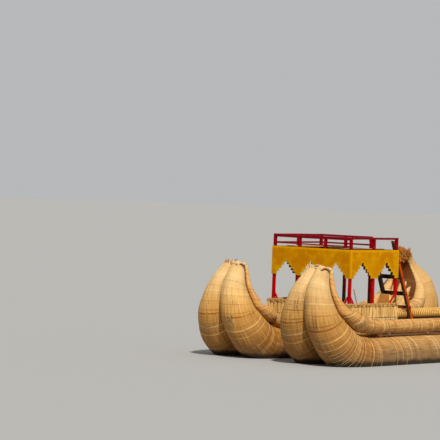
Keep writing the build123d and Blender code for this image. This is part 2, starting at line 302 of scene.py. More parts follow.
def timber(m, a, b, w, h, up=(0, 0, 1), ch=0.004, seg=0.25, warp=0.0015, rng=RNG, mat=0, rnd=None, end_wear=1.0):
    """A sawn timber from a to b, w wide and h deep (along up), with eased edges."""
    a, b, up = np.asarray(a, float), np.asarray(b, float), np.asarray(up, float)
    L = np.linalg.norm(b - a)
    T = (b - a) / L
    S = np.cross(up, T)
    S /= np.linalg.norm(S)
    U = np.cross(T, S)
    ch = min(ch, w * 0.3, h * 0.3)
    prof, edge = [], []
    for sx, sy, a0 in ((1, 1, 0), (-1, 1, 90), (-1, -1, 180), (1, -1, 270)):
        for k in range(3):
            t = math.radians(a0 + 45 * k)
            prof.append((sx * (w / 2 - ch) + ch * math.cos(t), sy * (h / 2 - ch) + ch * math.sin(t)))
            edge.append((0.75, 1.0, 0.75)[k])
    prof, edge = np.array(prof), np.array(edge)
    ns = max(2, int(round(L / seg)))
    xs = np.r_[0, ch, np.linspace(ch, L - ch, ns + 1)[1:-1], L - ch, L]
    inset = np.ones(len(xs))
    n = len(xs)
    c = len(prof)
    bow = wobble(n, 2.0, rng) * warp
    bow2 = wobble(n, 2.0, rng) * warp
    env = np.sin(np.pi * xs / L) ** 0.5
    P = np.zeros((n, c, 3))
    for i in range(n):
        q = prof.copy()
        if i in (0, n - 1):
            q[:, 0] *= (w / 2 - ch) / (w / 2)
            q[:, 1] *= (h / 2 - ch) / (h / 2)
        q = q + rng.normal(size=q.shape) * warp * 0.12
        P[i] = a + T * xs[i] + S * (q[:, :1] + bow[i] * env[i]) + U * (q[:, 1:] + bow2[i] * env[i])
    i, j = np.arange(n - 1), np.arange(c)
    I, J = np.meshgrid(i, j, indexing="ij")
    J2 = (J + 1) % c
    q = np.stack([I * c + J, I * c + J2, (I + 1) * c + J2, (I + 1) * c + J], -1).reshape(-1, 4)
    per = np.r_[0, np.cumsum(np.linalg.norm(np.diff(np.r_[prof, prof[:1]], axis=0), axis=1))]
    off = rng.uniform(0, 5, 2)
    uv = np.stack([np.stack([per[J], xs[I]], -1), np.stack([per[J + 1], xs[I]], -1),
                   np.stack([per[J + 1], xs[I + 1]], -1), np.stack([per[J], xs[I + 1]], -1)], 2).reshape(-1, 4, 2) + off
    caps = [np.arange(c)[None, ::-1], (n - 1) * c + np.arange(c)[None, :]]
    cu = prof[None] * 0.35
    wear = np.tile(edge, n)
    wear[:c] = end_wear
    wear[-c:] = end_wear
    m.add(P.reshape(-1, 3), [q] + caps, mat, [uv, cu[:, ::-1] + off, cu + off], wear=wear,
          rnd=rng.uniform() if rnd is None else rnd)


def box_timber(m, x0, x1, y0, y1, z0, z1, **kw):
    """The same, from an axis-aligned box, along its longest side."""
    d = (abs(x1 - x0), abs(y1 - y0), abs(z1 - z0))
    c = ((x0 + x1) / 2, (y0 + y1) / 2, (z0 + z1) / 2)
    k = int(np.argmax(d))
    a, b = list(c), list(c)
    a[k] -= d[k] / 2
    b[k] += d[k] / 2
    if k == 0:
        timber(m, a, b, d[1], d[2], up=(0, 0, 1), **kw)
    elif k == 1:
        timber(m, a, b, d[0], d[2], up=(0, 0, 1), **kw)
    else:
        timber(m, a, b, d[1], d[0], up=(1, 0, 0), **kw)


# =====================================================================
# materials
class Mat:
    def __init__(self, name):
        self.mat = bpy.data.materials.new(name)
        self.mat.use_nodes = True
        self.nt = self.mat.node_tree
        self.bsdf = self.nt.nodes["Principled BSDF"]
        self.out = self.nt.nodes["Material Output"]

    def node(self, kind, **kw):
        n = self.nt.nodes.new(kind)
        for k, v in kw.items():
            setattr(n, k, v)
        return n

    def link(self, a, b):
        self.nt.links.new(a, b)

    def val(self, sock, v):
        if isinstance(v, bpy.types.NodeSocket):
            self.link(v, sock)
        else:
            sock.default_value = v

    def uv(self):
        n = self.node("ShaderNodeUVMap")
        n.uv_map = "strand"
        return n.outputs[0]

    def obj(self):
        return self.node("ShaderNodeTexCoord").outputs["Object"]

    def attr(self, name):
        n = self.node("ShaderNodeAttribute")
        n.attribute_name = name
        return n.outputs["Fac"]

    def scale(self, vec, s, off=(0, 0, 0)):
        n = self.node("ShaderNodeMapping")
        self.link(vec, n.inputs["Vector"])
        n.inputs["Scale"].default_value = s
        n.inputs["Location"].default_value = off
        return n.outputs[0]

    def noise(self, vec, scale=1.0, detail=3.0, rough=0.55, dist=0.0, w=None):
        n = self.node("ShaderNodeTexNoise")
        self.link(vec, n.inputs["Vector"])
        n.inputs["Scale"].default_value = scale
        n.inputs["Detail"].default_value = detail
        n.inputs["Roughness"].default_value = rough
        n.inputs["Distortion"].default_value = dist
        return n.outputs["Fac"]

    def voronoi(self, vec, scale=1.0, feature="F1", rand=1.0):
        n = self.node("ShaderNodeTexVoronoi", feature=feature)
        self.link(vec, n.inputs["Vector"])
        n.inputs["Scale"].default_value = scale
        n.inputs["Randomness"].default_value = rand
        return n

    def math(self, op, a, b=None, c=None, clamp=False):
        n = self.node("ShaderNodeMath", operation=op, use_clamp=clamp)
        for s, v in zip(n.inputs, (a, b, c)):
            if v is not None:
                self.val(s, v)
        return n.outputs[0]

    def ramp(self, f, stops):
        n = self.node("ShaderNodeValToRGB")
        self.link(f, n.inputs[0])
        e = n.color_ramp.elements
        while len(e) < len(stops):
            e.new(0.5)
        for k, (p, c) in zip(e, stops):
            k.position = p
            k.color = (c, c, c, 1) if np.isscalar(c) else tuple(c) + (1,)
        return n.outputs[0]

    def map(self, f, a, b, c=0.0, d=1.0, smooth=True):
        n = self.node("ShaderNodeMapRange", interpolation_type="SMOOTHSTEP" if smooth else "LINEAR")
        self.link(f, n.inputs["Value"])
        for k, v in zip(("From Min", "From Max", "To Min", "To Max"), (a, b, c, d)):
            n.inputs[k].default_value = v
        return n.outputs[0]

    def mix(self, f, a, b, mode="MIX"):
        n = self.node("ShaderNodeMix", data_type="RGBA", blend_type=mode)
        self.val(n.inputs[0], f)
        for s, v in ((n.inputs[6], a), (n.inputs[7], b)):
            if isinstance(v, bpy.types.NodeSocket):
                self.link(v, s)
            else:
                s.default_value = tuple(v) + (1,) if len(v) == 3 else v
        return n.outputs[2]

    def bump(self, height, strength, dist, prev=None):
        n = self.node("ShaderNodeBump")
        n.inputs["Strength"].default_value = strength
        n.inputs["Distance"].default_value = dist
        self.link(height, n.inputs["Height"])
        if prev is not None:
            self.link(prev, n.inputs["Normal"])
        return n.outputs[0]

    def finish(self, color, rough, normal=None, spec=0.35):
        self.val(self.bsdf.inputs["Base Color"], color if isinstance(color, bpy.types.NodeSocket) else tuple(color) + (1,))
        self.val(self.bsdf.inputs["Roughness"], rough)
        self.bsdf.inputs["Specular IOR Level"].default_value = spec
        if normal is not None:
            self.link(normal, self.bsdf.inputs["Normal"])
        return self.mat


def z_of(m, vec):
    n = m.node("ShaderNodeSeparateXYZ")
    m.link(vec, n.inputs[0])
    return n.outputs["Z"]


def reed_material(name, light, mid, dark, seed=0.0, wet=True, rings=1.0, lattice=1.0, orange=(0.26, 0.092, 0.010), pale=(0.66, 0.48, 0.24),
                  lift=0.5, ribbed=False, stern=0.0, stern_col=(0.58, 0.415, 0.195), roll=False):
    """Bound reeds: tone from reed to reed and hank to hank, lines of the binding, brown runs, damp at the waterline."""
    m = Mat(name)
    uv = m.uv()
    ob = m.obj()
    fine = m.noise(m.scale(uv, (115, 3.2, 1), (seed, seed, 0)), 1.0, 2.0)
    hank = m.noise(m.scale(uv, (21, 1.7, 1), (seed + 3, 1, 0)), 1.0, 3.0, 0.6)
    big = m.noise(m.scale(ob, (1.5, 1.5, 1.5), (seed, 0, 0)), 1.0, 3.0)
    tone = m.math("ADD", m.math("MULTIPLY", fine, 0.38), m.math("MULTIPLY", hank, 0.62))
    col = m.ramp(tone, [(0.37, tuple(q * 0.80 for q in dark)), (0.46, mid), (0.52, mid), (0.595, tuple(q * 1.12 for q in light))])
    z = z_of(m, ob)
    high = m.map(z, 1.5, 2.8)
    col = m.mix(m.math("MULTIPLY", high, lift), col, pale)
    low = m.map(z, 1.9, 0.9)
    col = m.mix(m.map(big, 0.44, 0.68, 0.0, 0.35), col, m.mix(0.5, mid, orange))
    # dark lines between the hanks: painted shade in the creases, stronger low down
    ln = m.noise(m.scale(uv, (26, 0.55, 1), (seed + 11, 6, 0)), 1.0, 1.0)
    thin = m.map(m.math("ABSOLUTE", m.math("SUBTRACT", ln, 0.5)), 0.0, 0.030, 1.0, 0.0)
    k = m.math("MULTIPLY", thin, m.math("MULTIPLY", m.math("ADD", 0.36, m.math("MULTIPLY", low, 0.40)), lattice))
    col = m.mix(k, col, m.mix(0.5, dark, orange))
    # the binding's turns: most orange-brown, some pale
    ph = m.attr("phase")
    on = m.attr("ringed")
    turn = m.map(m.math("COSINE", m.math("MULTIPLY", ph, 2 * math.pi)), -0.15, 0.80)
    wn = m.node("ShaderNodeTexWhiteNoise", noise_dimensions="1D")
    m.link(m.math("ROUND", m.math("ADD", ph, seed * 37)), wn.inputs["W"])
    r1 = wn.outputs["Value"]
    wn2 = m.node("ShaderNodeTexWhiteNoise", noise_dimensions="1D")
    m.link(m.math("ROUND", m.math("ADD", ph, seed * 53 + 500)), wn2.inputs["W"])
    r2 = wn2.outputs["Value"]
    fade = m.map(m.noise(m.scale(uv, (2.6, 17.0, 1), (seed + 2, 8, 0)), 1.0, 2.0), 0.36, 0.56, 0.22, 1.0)
    band = m.attr("band")
    amt = m.math("ADD", m.math("ADD", 0.32, m.math("MULTIPLY", low, 0.95)), m.math("MULTIPLY", band, 0.85), clamp=True)
    if ribbed:
        # ribbed: orange at each binding's pinch, the binding's colour with painted shade in the pinch; a pale crest on
        # each rib, a painted highlight
        turn = m.map(m.math("COSINE", m.math("MULTIPLY", ph, 2 * math.pi)), -0.35, 0.85)
        s = m.math("MULTIPLY", turn, m.map(r1, 0.0, 1.0, 0.70, 1.0, False))
        col = m.mix(m.math("MULTIPLY", s, on), col, orange)
        crest_highlight = m.map(m.math("COSINE", m.math("MULTIPLY", ph, 2 * math.pi)), -0.55, -0.95)
        col = m.mix(m.math("MULTIPLY", crest_highlight, m.map(r2, 0.0, 1.0, 0.15, 0.85, False)), col, pale)
        # painted shade along the roll's foot, just above the deck
        under = m.map(z, DECK_TOP + 0.13, DECK_TOP + 0.02)
        col = m.mix(m.math("MULTIPLY", under, 0.75), col, (0.20, 0.080, 0.016))
    else:
        s = m.math("MULTIPLY", m.math("MULTIPLY", turn, m.map(r1, 0.30, 0.95, 0.12, 1.75)), m.math("MULTIPLY", fade, amt))
        s = m.math("MULTIPLY", m.math("MULTIPLY", s, on), rings, clamp=True)
        col = m.mix(s, col, m.mix(m.map(r2, 0.70, 0.72), orange, pale))
    # brown runs, longer than wide
    br = m.attr("brown")
    run = m.noise(m.scale(uv, (19, 1.7, 1), (seed + 7, 2, 0)), 1.0, 4.0, 0.62)
    f = m.math("ADD", run, m.math("MULTIPLY", br, 0.17))
    zone = m.noise(m.scale(ob, (0.9, 0.9, 0.9), (seed + 5, 3, 1)), 1.0, 2.0)
    runs = m.math("MULTIPLY", m.map(f, 0.60, 0.70), m.math("ADD", m.math("MULTIPLY", br, 0.95), m.map(zone, 0.48, 0.66, 0.0, 0.30), clamp=True))
    col = m.mix(m.math("MULTIPLY", runs, 0.90), col, (0.190, 0.092, 0.038))
    # grey, flecked and dulled
    gy = m.attr("grey")
    col = m.mix(m.math("MULTIPLY", gy, 0.42), col, (0.33, 0.235, 0.13))
    fleck = m.noise(m.scale(uv, (42, 20, 1), (seed + 4, 9, 0)), 1.0, 3.0, 0.6)
    col = m.mix(m.math("MULTIPLY", m.map(fleck, 0.56, 0.68), m.math("MULTIPLY", gy, 0.85)), col, (0.075, 0.052, 0.028))
    if not ribbed:
        # paler above, darker and yellower toward the water: painted shade on the lower, downward-turned surfaces, with
        # the damp; on the flanks darker and greyer low down, also painted shade
        zt = m.math("ADD", z, m.math("MULTIPLY", m.math("SUBTRACT", big, 0.5), 0.5))
        bow = m.ramp(m.map(zt, 0.4, 2.8, 0.0, 1.0, False), [(0.0, (0.60, 0.44, 0.30)), (0.25, (0.75, 0.575, 0.36)), (0.55, (0.94, 0.82, 0.60)),
                                                            (0.95, (1.0, 1.0, 1.0))])
        side = m.ramp(m.map(zt, 0.4, 1.9, 0.0, 1.0, False), [(0.0, (0.42, 0.38, 0.42)), (0.22, (0.51, 0.48, 0.51)), (0.5, (0.96, 0.92, 0.95)),
                                                             (1.0, (1.0, 1.0, 0.92))])
        if roll:
            bow = m.ramp(m.map(zt, 0.4, 2.8, 0.0, 1.0, False), [(0.0, (0.85, 0.75, 0.68)), (0.45, (1.0, 0.98, 0.93)), (0.62, (1.0, 0.97, 0.88)),
                                                                (0.78, (0.97, 0.90, 0.74)), (1.0, (1.0, 0.97, 0.90))])
            side = m.ramp(m.map(zt, 0.4, 1.9, 0.0, 1.0, False), [(0.0, (0.60, 0.55, 0.55)), (0.5, (0.89, 0.86, 0.80)), (1.0, (0.94, 0.94, 0.85))])
        sx = m.node("ShaderNodeSeparateXYZ")
        m.link(ob, sx.inputs[0])
        col = m.mix(1.0, col, m.mix(m.map(m.math("ABSOLUTE", sx.outputs["X"]), 3.1, 1.9), bow, side), "MULTIPLY")
        col = m.mix(m.math("MULTIPLY", m.map(sx.outputs["X"], -2.7, -3.6), stern), col, stern_col)
        if not roll:
            # the starboard bow is a little lighter low down
            starboard_bow_lift = m.math("MULTIPLY", m.map(sx.outputs["Y"], -0.4, -0.9), m.math("MULTIPLY", m.map(sx.outputs["X"], 1.6, 2.6), m.map(z, 2.60, 2.05)))
            col = m.mix(starboard_bow_lift, col, m.mix(1.0, col, (1.18, 1.19, 1.17), "MULTIPLY"))
    if wet:
        edge = m.noise(m.scale(ob, (3.0, 3.0, 1.0), (seed, 0, 0)), 1.0, 4.0, 0.6)
        zz = m.math("ADD", z, m.math("MULTIPLY", m.math("SUBTRACT", edge, 0.5), 0.16))
        tan = m.map(zz, WATER + 0.05, WATER + 0.55, 1.0, 0.0)
        col = m.mix(m.math("MULTIPLY", tan, 0.30), col, (0.20, 0.125, 0.062))
        alg = m.map(zz, WATER + 0.080, WATER + 0.195, 1.0, 0.0)
        col = m.mix(m.math("MULTIPLY", alg, 0.94), col, (0.024, 0.014, 0.003))
        # darkest in the lowest few centimetres above the water
        waterline_edge_dark = m.map(z, WATER + 0.010, WATER + 0.040, 1.0, 0.0)
        col = m.mix(m.math("MULTIPLY", waterline_edge_dark, 0.9), col, (0.018, 0.014, 0.008))
        rough = m.math("SUBTRACT", 0.70, m.math("MULTIPLY", alg, 0.12))
    else:
        rough = m.map(fine, 0.3, 0.7, 0.56, 0.70, False)
    h = m.math("ADD", m.math("MULTIPLY", hank, 0.8), m.math("MULTIPLY", fine, 0.6))
    h = m.math("SUBTRACT", h, m.math("MULTIPLY", m.math("MULTIPLY", turn, on), 0.35))
    return m.finish(col, rough, m.bump(h, 0.6, 0.007), 0.25)


def cord_material(name, a, b):
    m = Mat(name)
    uv = m.uv()
    tw = m.node("ShaderNodeTexWave", wave_type="BANDS", bands_direction="DIAGONAL")
    m.link(m.scale(uv, (60, 60, 1)), tw.inputs["Vector"])
    tw.inputs["Scale"].default_value = 1.6
    tw.inputs["Distortion"].default_value = 0.8
    n = m.noise(m.scale(uv, (40, 3, 1)), 1.0, 3.0)
    r = m.attr("rnd")
    f = m.math("ADD", m.math("MULTIPLY", n, 0.6), m.math("MULTIPLY", r, 0.4))
    col = m.ramp(f, [(0.25, b), (0.62, a)])
    return m.finish(col, m.map(n, 0.3, 0.7, 0.7, 0.85, False), m.bump(tw.outputs["Fac"], 0.5, 0.002), 0.2)


def stalk_material(name, cols, seed=0.0, spec=0.3):
    """Single reeds, each with its own tone."""
    m = Mat(name)
    uv = m.uv()
    r = m.attr("rnd")
    n = m.noise(m.scale(uv, (70, 3.0, 1), (seed, 0, 0)), 1.0, 3.0)
    long = m.noise(m.scale(uv, (8, 2.2, 1), (seed, 4, 0)), 1.0, 3.0)
    f = m.math("ADD", m.math("MULTIPLY", r, 0.62), m.math("MULTIPLY", n, 0.38))
    col = m.ramp(f, [(0.12, cols[0]), (0.34, cols[1]), (0.62, cols[2]), (0.86, cols[3])])
    col = m.mix(m.map(long, 0.56, 0.74, 0.0, 0.55), col, (0.30, 0.16, 0.06))
    tip = m.attr("tip")
    col = m.mix(m.math("MULTIPLY", m.map(tip, 0.0, 1.0), 0.55), col, (0.24, 0.12, 0.045))
    return m.finish(col, m.map(n, 0.3, 0.7, 0.5, 0.72, False), m.bump(n, 0.5, 0.002), spec)


def paint_material(name, base, deep, bare=(0.33, 0.20, 0.11), rough=0.38, wear=0.5, seed=0.0, cloud=0.35,
                   upper=None, foot=None):
    """Brushed gloss paint on timber: brush streaks, dirt, and wood showing where edges are rubbed."""
    m = Mat(name)
    uv = m.uv()
    ob = m.obj()
    brush = m.noise(m.scale(uv, (70, 3.0, 1), (seed, 0, 0)), 1.0, 3.0)
    cl = m.noise(m.scale(ob, (2.4, 2.4, 2.4), (seed, 1, 0)), 1.0, 4.0, 0.6)
    r = m.attr("rnd")
    if upper is not None:
        base = m.mix(m.map(z_of(m, ob), BOARD_BOTTOM + 0.2, BOARD_BOTTOM + 0.5), base, upper)
    if foot is not None:
        base = m.mix(m.map(z_of(m, ob), 2.30, 2.22), base, foot)
    f = m.math("ADD", m.math("MULTIPLY", cl, 0.7), m.math("MULTIPLY", brush, 0.3))
    col = m.mix(m.map(f, 0.36, 0.62, cloud, 0.0), base, deep)
    col = m.mix(m.math("MULTIPLY", r, 0.22), col, deep)
    col = m.mix(m.map(brush, 0.60, 0.80, 0.0, 0.20), col, m.mix(0.04, base, bare))
    chip = m.noise(m.scale(ob, (22, 22, 22), (seed, 2, 0)), 1.0, 4.0, 0.65)
    w = m.attr("wear")
    lim = m.math("ADD", chip, m.math("MULTIPLY", w, 0.17 * wear))
    chips = m.map(lim, 0.72, 0.745)
    col = m.mix(chips, col, bare)
    dirt = m.noise(m.scale(ob, (6, 6, 9), (seed, 5, 0)), 1.0, 4.0, 0.6)
    col = m.mix(m.map(dirt, 0.55, 0.8, 0.0, 0.28), col, (0.10, 0.018, 0.010))
    rg = m.math("ADD", m.math("MULTIPLY", chips, 0.32), m.map(brush, 0.3, 0.7, rough - 0.06, rough + 0.10, False), clamp=True)
    h = m.math("SUBTRACT", m.math("MULTIPLY", brush, 0.35), m.math("MULTIPLY", chips, 0.9))
    return m.finish(col, rg, m.bump(h, 0.35, 0.003), 0.04)


def wood_material(name, light, mid, dark, rough=0.68, seed=0.0, nails=False):
    """Bare or stained boards: grain along them, each board its own tone, grey where trodden."""
    m = Mat(name)
    uv = m.uv()
    ob = m.obj()
    r = m.attr("rnd")
    g = m.noise(m.scale(uv, (38, 1.6, 1), (seed, 0, 0)), 1.0, 4.0, 0.6, 1.2)
    fine = m.noise(m.scale(uv, (240, 6.0, 1), (seed, 3, 0)), 1.0, 2.0)
    f = m.math("ADD", m.math("MULTIPLY", g, 0.62), m.math("MULTIPLY", fine, 0.38))
    col = m.ramp(f, [(0.30, dark), (0.48, mid), (0.66, light)])
    col = m.mix(m.math("MULTIPLY", r, 0.40), col, dark)
    stain = m.noise(m.scale(ob, (3.2, 3.2, 3.2), (seed, 0, 4)), 1.0, 4.0, 0.6)
    col = m.mix(m.map(stain, 0.50, 0.74, 0.0, 0.45), col, m.mix(0.5, dark, (0.12, 0.10, 0.08)))
    w = m.attr("wear")
    col = m.mix(m.math("MULTIPLY", w, 0.18), col, light)
    return m.finish(col, m.map(f, 0.3, 0.7, rough + 0.08, rough - 0.06, False), m.bump(f, 0.45, 0.003), 0.3)


def board_material(name, base, orange, pale, seed=0.0):
    """Ochre paint on sheet boards: cloudy, weathered browner in patches, fresher along the cut edges."""
    m = Mat(name)
    ob = m.obj()
    uv = m.uv()
    big = m.noise(m.scale(ob, (1.5, 1.5, 1.1), (seed, 0, 0)), 1.0, 4.0, 0.55)
    midn = m.noise(m.scale(ob, (5.2, 5.2, 5.2), (seed, 2, 0)), 1.0, 5.0, 0.62)
    fine = m.noise(m.scale(ob, (60, 60, 45), (seed, 4, 0)), 1.0, 4.0, 0.6)
    drip = m.noise(m.scale(ob, (26, 26, 1.3), (seed, 7, 0)), 1.0, 4.0, 0.6)
    col = m.mix(m.map(big, 0.36, 0.66, 0.0, 0.62), base, orange)
    col = m.mix(m.map(midn, 0.50, 0.66, 0.0, 0.62), col, orange)
    col = m.mix(m.map(midn, 0.50, 0.32, 0.0, 0.60), col, pale)
    col = m.mix(m.map(drip, 0.60, 0.80, 0.0, 0.30), col, (0.24, 0.095, 0.002))
    col = m.mix(m.map(m.noise(m.scale(ob, (3.1, 3.1, 2.2), (seed, 12, 0)), 1.0, 4.0, 0.6), 0.52, 0.72, 0.0, 0.45), col, (0.36, 0.165, 0.0))
    edge = m.attr("wear")
    col = m.mix(m.math("MULTIPLY", edge, 0.75), col, pale)
    speck = m.noise(m.scale(ob, (34, 34, 34), (seed, 9, 3)), 1.0, 3.0, 0.7)
    chips = m.map(speck, 0.735, 0.755)
    col = m.mix(m.math("MULTIPLY", chips, 0.8), col, (0.20, 0.10, 0.03))
    h = m.math("ADD", m.math("MULTIPLY", fine, 0.4), m.math("MULTIPLY", midn, 0.3))
    return m.finish(col, m.map(fine, 0.3, 0.7, 0.55, 0.68, False), m.bump(h, 0.30, 0.004), 0.02)


M_REED = reed_material("reed_bundle", (0.51, 0.320, 0.112), (0.42, 0.240, 0.068), (0.265, 0.130, 0.030), seed=1.0,
                       stern=0.50, stern_col=(0.44, 0.250, 0.078))
M_ROLL = reed_material("reed_roll", (0.57, 0.325, 0.110), (0.485, 0.250, 0.074), (0.31, 0.140, 0.033), wet=False, seed=4.0, rings=0.85,
                       lattice=0.6, lift=0.12, pale=(0.60, 0.40, 0.155), stern=0.42, roll=True)
M_HEART = reed_material("reed_heart", (0.53, 0.31, 0.10), (0.44, 0.235, 0.070), (0.30, 0.135, 0.036), wet=False, seed=6.0, rings=0.6, lift=0.3)
M_AFTROLL = reed_material("reed_ribbed", (0.60, 0.365, 0.085), (0.52, 0.280, 0.055), (0.38, 0.165, 0.026), wet=False, seed=8.0,
                          lattice=0.2, lift=0.0, ribbed=True, orange=(0.235, 0.082, 0.009), pale=(0.76, 0.55, 0.20))
M_CORD = cord_material("binding_cord", (0.62, 0.42, 0.185), (0.48, 0.305, 0.12))
M_CORD_DK = cord_material("binding_cord_brown", (0.30, 0.135, 0.030), (0.18, 0.072, 0.014))
M_ROPE_BLUE = cord_material("rope_blue", (0.03, 0.30, 0.52), (0.012, 0.15, 0.30))
M_STALK = stalk_material("reed_stalks", [(0.26, 0.120, 0.026), (0.50, 0.285, 0.080), (0.66, 0.420, 0.140), (0.78, 0.54, 0.215)])
M_TUFT = stalk_material("reed_cut_ends", [(0.14, 0.055, 0.012), (0.34, 0.14, 0.032), (0.48, 0.22, 0.058), (0.58, 0.32, 0.11)], 2.0)
M_BRUSH = stalk_material("reed_brush", [(0.12, 0.028, 0.002), (0.38, 0.108, 0.006), (0.58, 0.195, 0.013), (0.74, 0.31, 0.032)], 3.0, 0.08)
M_HEAP = stalk_material("reed_folded_ends", [(0.30, 0.165, 0.055), (0.42, 0.26, 0.10), (0.52, 0.345, 0.145), (0.60, 0.42, 0.20)], 7.0)
M_HANK = stalk_material("reed_hanks", [(0.40, 0.225, 0.065), (0.50, 0.30, 0.10), (0.57, 0.365, 0.135), (0.62, 0.42, 0.18)], 8.0)
M_LINING_SHADE = stalk_material("reed_brown_lining_and_shade", [(0.070, 0.020, 0.0025), (0.100, 0.028, 0.0035), (0.130, 0.037, 0.0045), (0.165, 0.050, 0.0065)], 9.0, 0.10)
M_BROWN_SHADE = stalk_material("reed_shade_mat", [(0.050, 0.016, 0.005), (0.095, 0.033, 0.009), (0.15, 0.054, 0.013), (0.22, 0.090, 0.026)], 5.0)
M_WALL_CORE_SHADE = stalk_material("reed_wall_core_shade", [(0.16, 0.068, 0.013), (0.22, 0.098, 0.020), (0.28, 0.13, 0.030), (0.33, 0.16, 0.042)], 14.0)
M_PLAIT = stalk_material("reed_plait", [(0.16, 0.065, 0.015), (0.34, 0.165, 0.045), (0.48, 0.27, 0.085), (0.62, 0.39, 0.145)], 6.0)
M_RED = paint_material("paint_red_posts", (0.40, 0.0006, 0.0006), (0.23, 0.0004, 0.0006), wear=0.45, seed=1.0, upper=(0.185, 0.0008, 0.004))
M_RED_AFT = paint_material("paint_red_aft_posts", (0.40, 0.0006, 0.0006), (0.23, 0.0004, 0.0006), wear=0.45, seed=1.5, upper=(0.185, 0.0008, 0.004),
                           foot=(0.085, 0.075, 0.030))
M_KNEE = paint_material("paint_red_knees", (0.42, 0.002, 0.002), (0.26, 0.001, 0.002), bare=(0.58, 0.33, 0.26), wear=0.75, seed=2.0)
M_KNEE_EDGE_WEAR_AND_HIGHLIGHT = paint_material("paint_worn_edge_and_highlight", (0.52, 0.20, 0.17), (0.42, 0.12, 0.10), bare=(0.62, 0.42, 0.34), wear=0.9, seed=13.0)
M_RAIL = paint_material("paint_crimson_rails", (0.185, 0.0012, 0.006), (0.105, 0.001, 0.005), bare=(0.34, 0.13, 0.11), wear=0.55, seed=3.0, cloud=0.5)
M_ORANGE = paint_material("paint_orange_ladder", (0.47, 0.060, 0.001), (0.33, 0.030, 0.001), wear=0.6, seed=5.0, cloud=0.6)
M_LADDER_SHADE = paint_material("paint_ladder_shade", (0.085, 0.062, 0.038), (0.050, 0.034, 0.022), wear=0.8, seed=11.0, bare=(0.20, 0.14, 0.085))
M_TREAD_SHADE = paint_material("paint_tread_shade", (0.13, 0.028, 0.012), (0.075, 0.018, 0.009), wear=0.6, seed=12.0, bare=(0.20, 0.09, 0.05))
M_SHADE_PAINT = paint_material("paint_dark_shade", (0.032, 0.013, 0.009), (0.018, 0.008, 0.006), wear=0.5, seed=7.0, bare=(0.12, 0.055, 0.035))
M_YELLOW = board_material("paint_ochre_boards", (0.465, 0.198, 0.0), (0.40, 0.134, 0.0), (0.56, 0.285, 0.0), 2.0)
M_BOARD_BACK_SHADE = paint_material("board_back_shade", (0.10, 0.045, 0.014), (0.05, 0.022, 0.010), wear=0.4, seed=9.0, bare=(0.20, 0.11, 0.045))
M_DECK = wood_material("deck_boards", (0.44, 0.30, 0.17), (0.32, 0.205, 0.11), (0.17, 0.105, 0.055), seed=1.0)
M_BEAM = wood_material("rough_beams", (0.30, 0.19, 0.10), (0.20, 0.12, 0.06), (0.10, 0.058, 0.03), 0.78, seed=2.0)
M_POLE = wood_material("weathered_pole", (0.52, 0.34, 0.185), (0.34, 0.20, 0.100), (0.13, 0.068, 0.033), 0.72, seed=3.0)
M_LASH = cord_material("lashing_orange", (0.60, 0.27, 0.15), (0.42, 0.15, 0.07))
M_KNOT = cord_material("lashing_white", (0.78, 0.72, 0.62), (0.55, 0.46, 0.36))
M_ROOF = wood_material("roof_timber", (0.14, 0.075, 0.042), (0.080, 0.040, 0.023), (0.035, 0.018, 0.012), 0.6, seed=4.0)
M_SEAT = wood_material("seat_boards", (0.50, 0.25, 0.085), (0.39, 0.18, 0.055), (0.24, 0.10, 0.030), 0.5, seed=5.0)
M_OCHREBOARD = wood_material("seat_end_board", (0.62, 0.27, 0.055), (0.52, 0.21, 0.038), (0.38, 0.145, 0.024), 0.55, seed=6.0)

# =====================================================================
# the bundles' common path
KNOT = np.r_[0, np.cumsum(np.hypot(np.diff(SECTIONS[:, 0]), np.diff(SECTIONS[:, 1])))]
SP = [soft_path(KNOT, SECTIONS[:, 0], Spline(KNOT, SECTIONS[:, 0])), soft_path(KNOT, SECTIONS[:, 1], Mono(KNOT, SECTIONS[:, 1]))] \
    + [Mono(KNOT, SECTIONS[:, k]) for k in range(2, 11)]
SMAX = KNOT[-1]


def path(s):
    """Centre x, z and the unit normal to the curve's inside, at arc positions s."""
    s = np.asarray(s, float)
    x, z = SP[0](s), SP[1](s)
    tx, tz = SP[0](s, 1), SP[1](s, 1)
    l = np.hypot(tx, tz)
    tx, tz = tx / l, tz / l
    return x, z, tz, -tx, tx, tz


def place(s, u, v, side, way):
    """World points from arc position, sideways distance from the hull's plane and height inside the curve."""
    x, z, nx, nz, tx, tz = path(s)
    return np.stack([x + v * nx, np.broadcast_to(side * (HY + way * u), np.broadcast(x, u).shape), z + v * nz], -1)


def local(s, side, dy, v, w):
    """World points near a horn's tip: dy across (minus: to the boat's middle), v inside the curve, w against the path."""
    x, z, nx, nz, tx, tz = [float(q) for q in path(np.array(s))]
    dy, v, w = [np.asarray(q, float) for q in (dy, v, w)]
    return np.stack(np.broadcast_arrays(x + v * nx - w * tx, side * (HY + dy), z + v * nz - w * tz), -1)


def wrap_rows(s0, s1, pitch, rng, spread=0.22):
    """Bindings, and the mesh rows: one on each binding and one between; phase counts the bindings."""
    w = [s0 + 0.022]
    while w[-1] < s1 - pitch * 1.5:
        w.append(w[-1] + pitch * rng.uniform(1 - spread, 1 + spread))
    w = np.array(w)
    mid = (w[:-1] + w[1:]) / 2
    rows = np.r_[s0, np.stack([w[:-1], mid], -1).ravel(), w[-1], s1]
    ph = np.r_[-0.45, np.stack([np.arange(len(w) - 1.0), np.arange(len(w) - 1.0) + 0.5], -1).ravel(), len(w) - 1.0, len(w) - 0.55]
    mark = np.r_[0.6, np.tile([1.0, 0.0], len(w) - 1), 1.0, 0.6]
    return w, rows, mark, ph


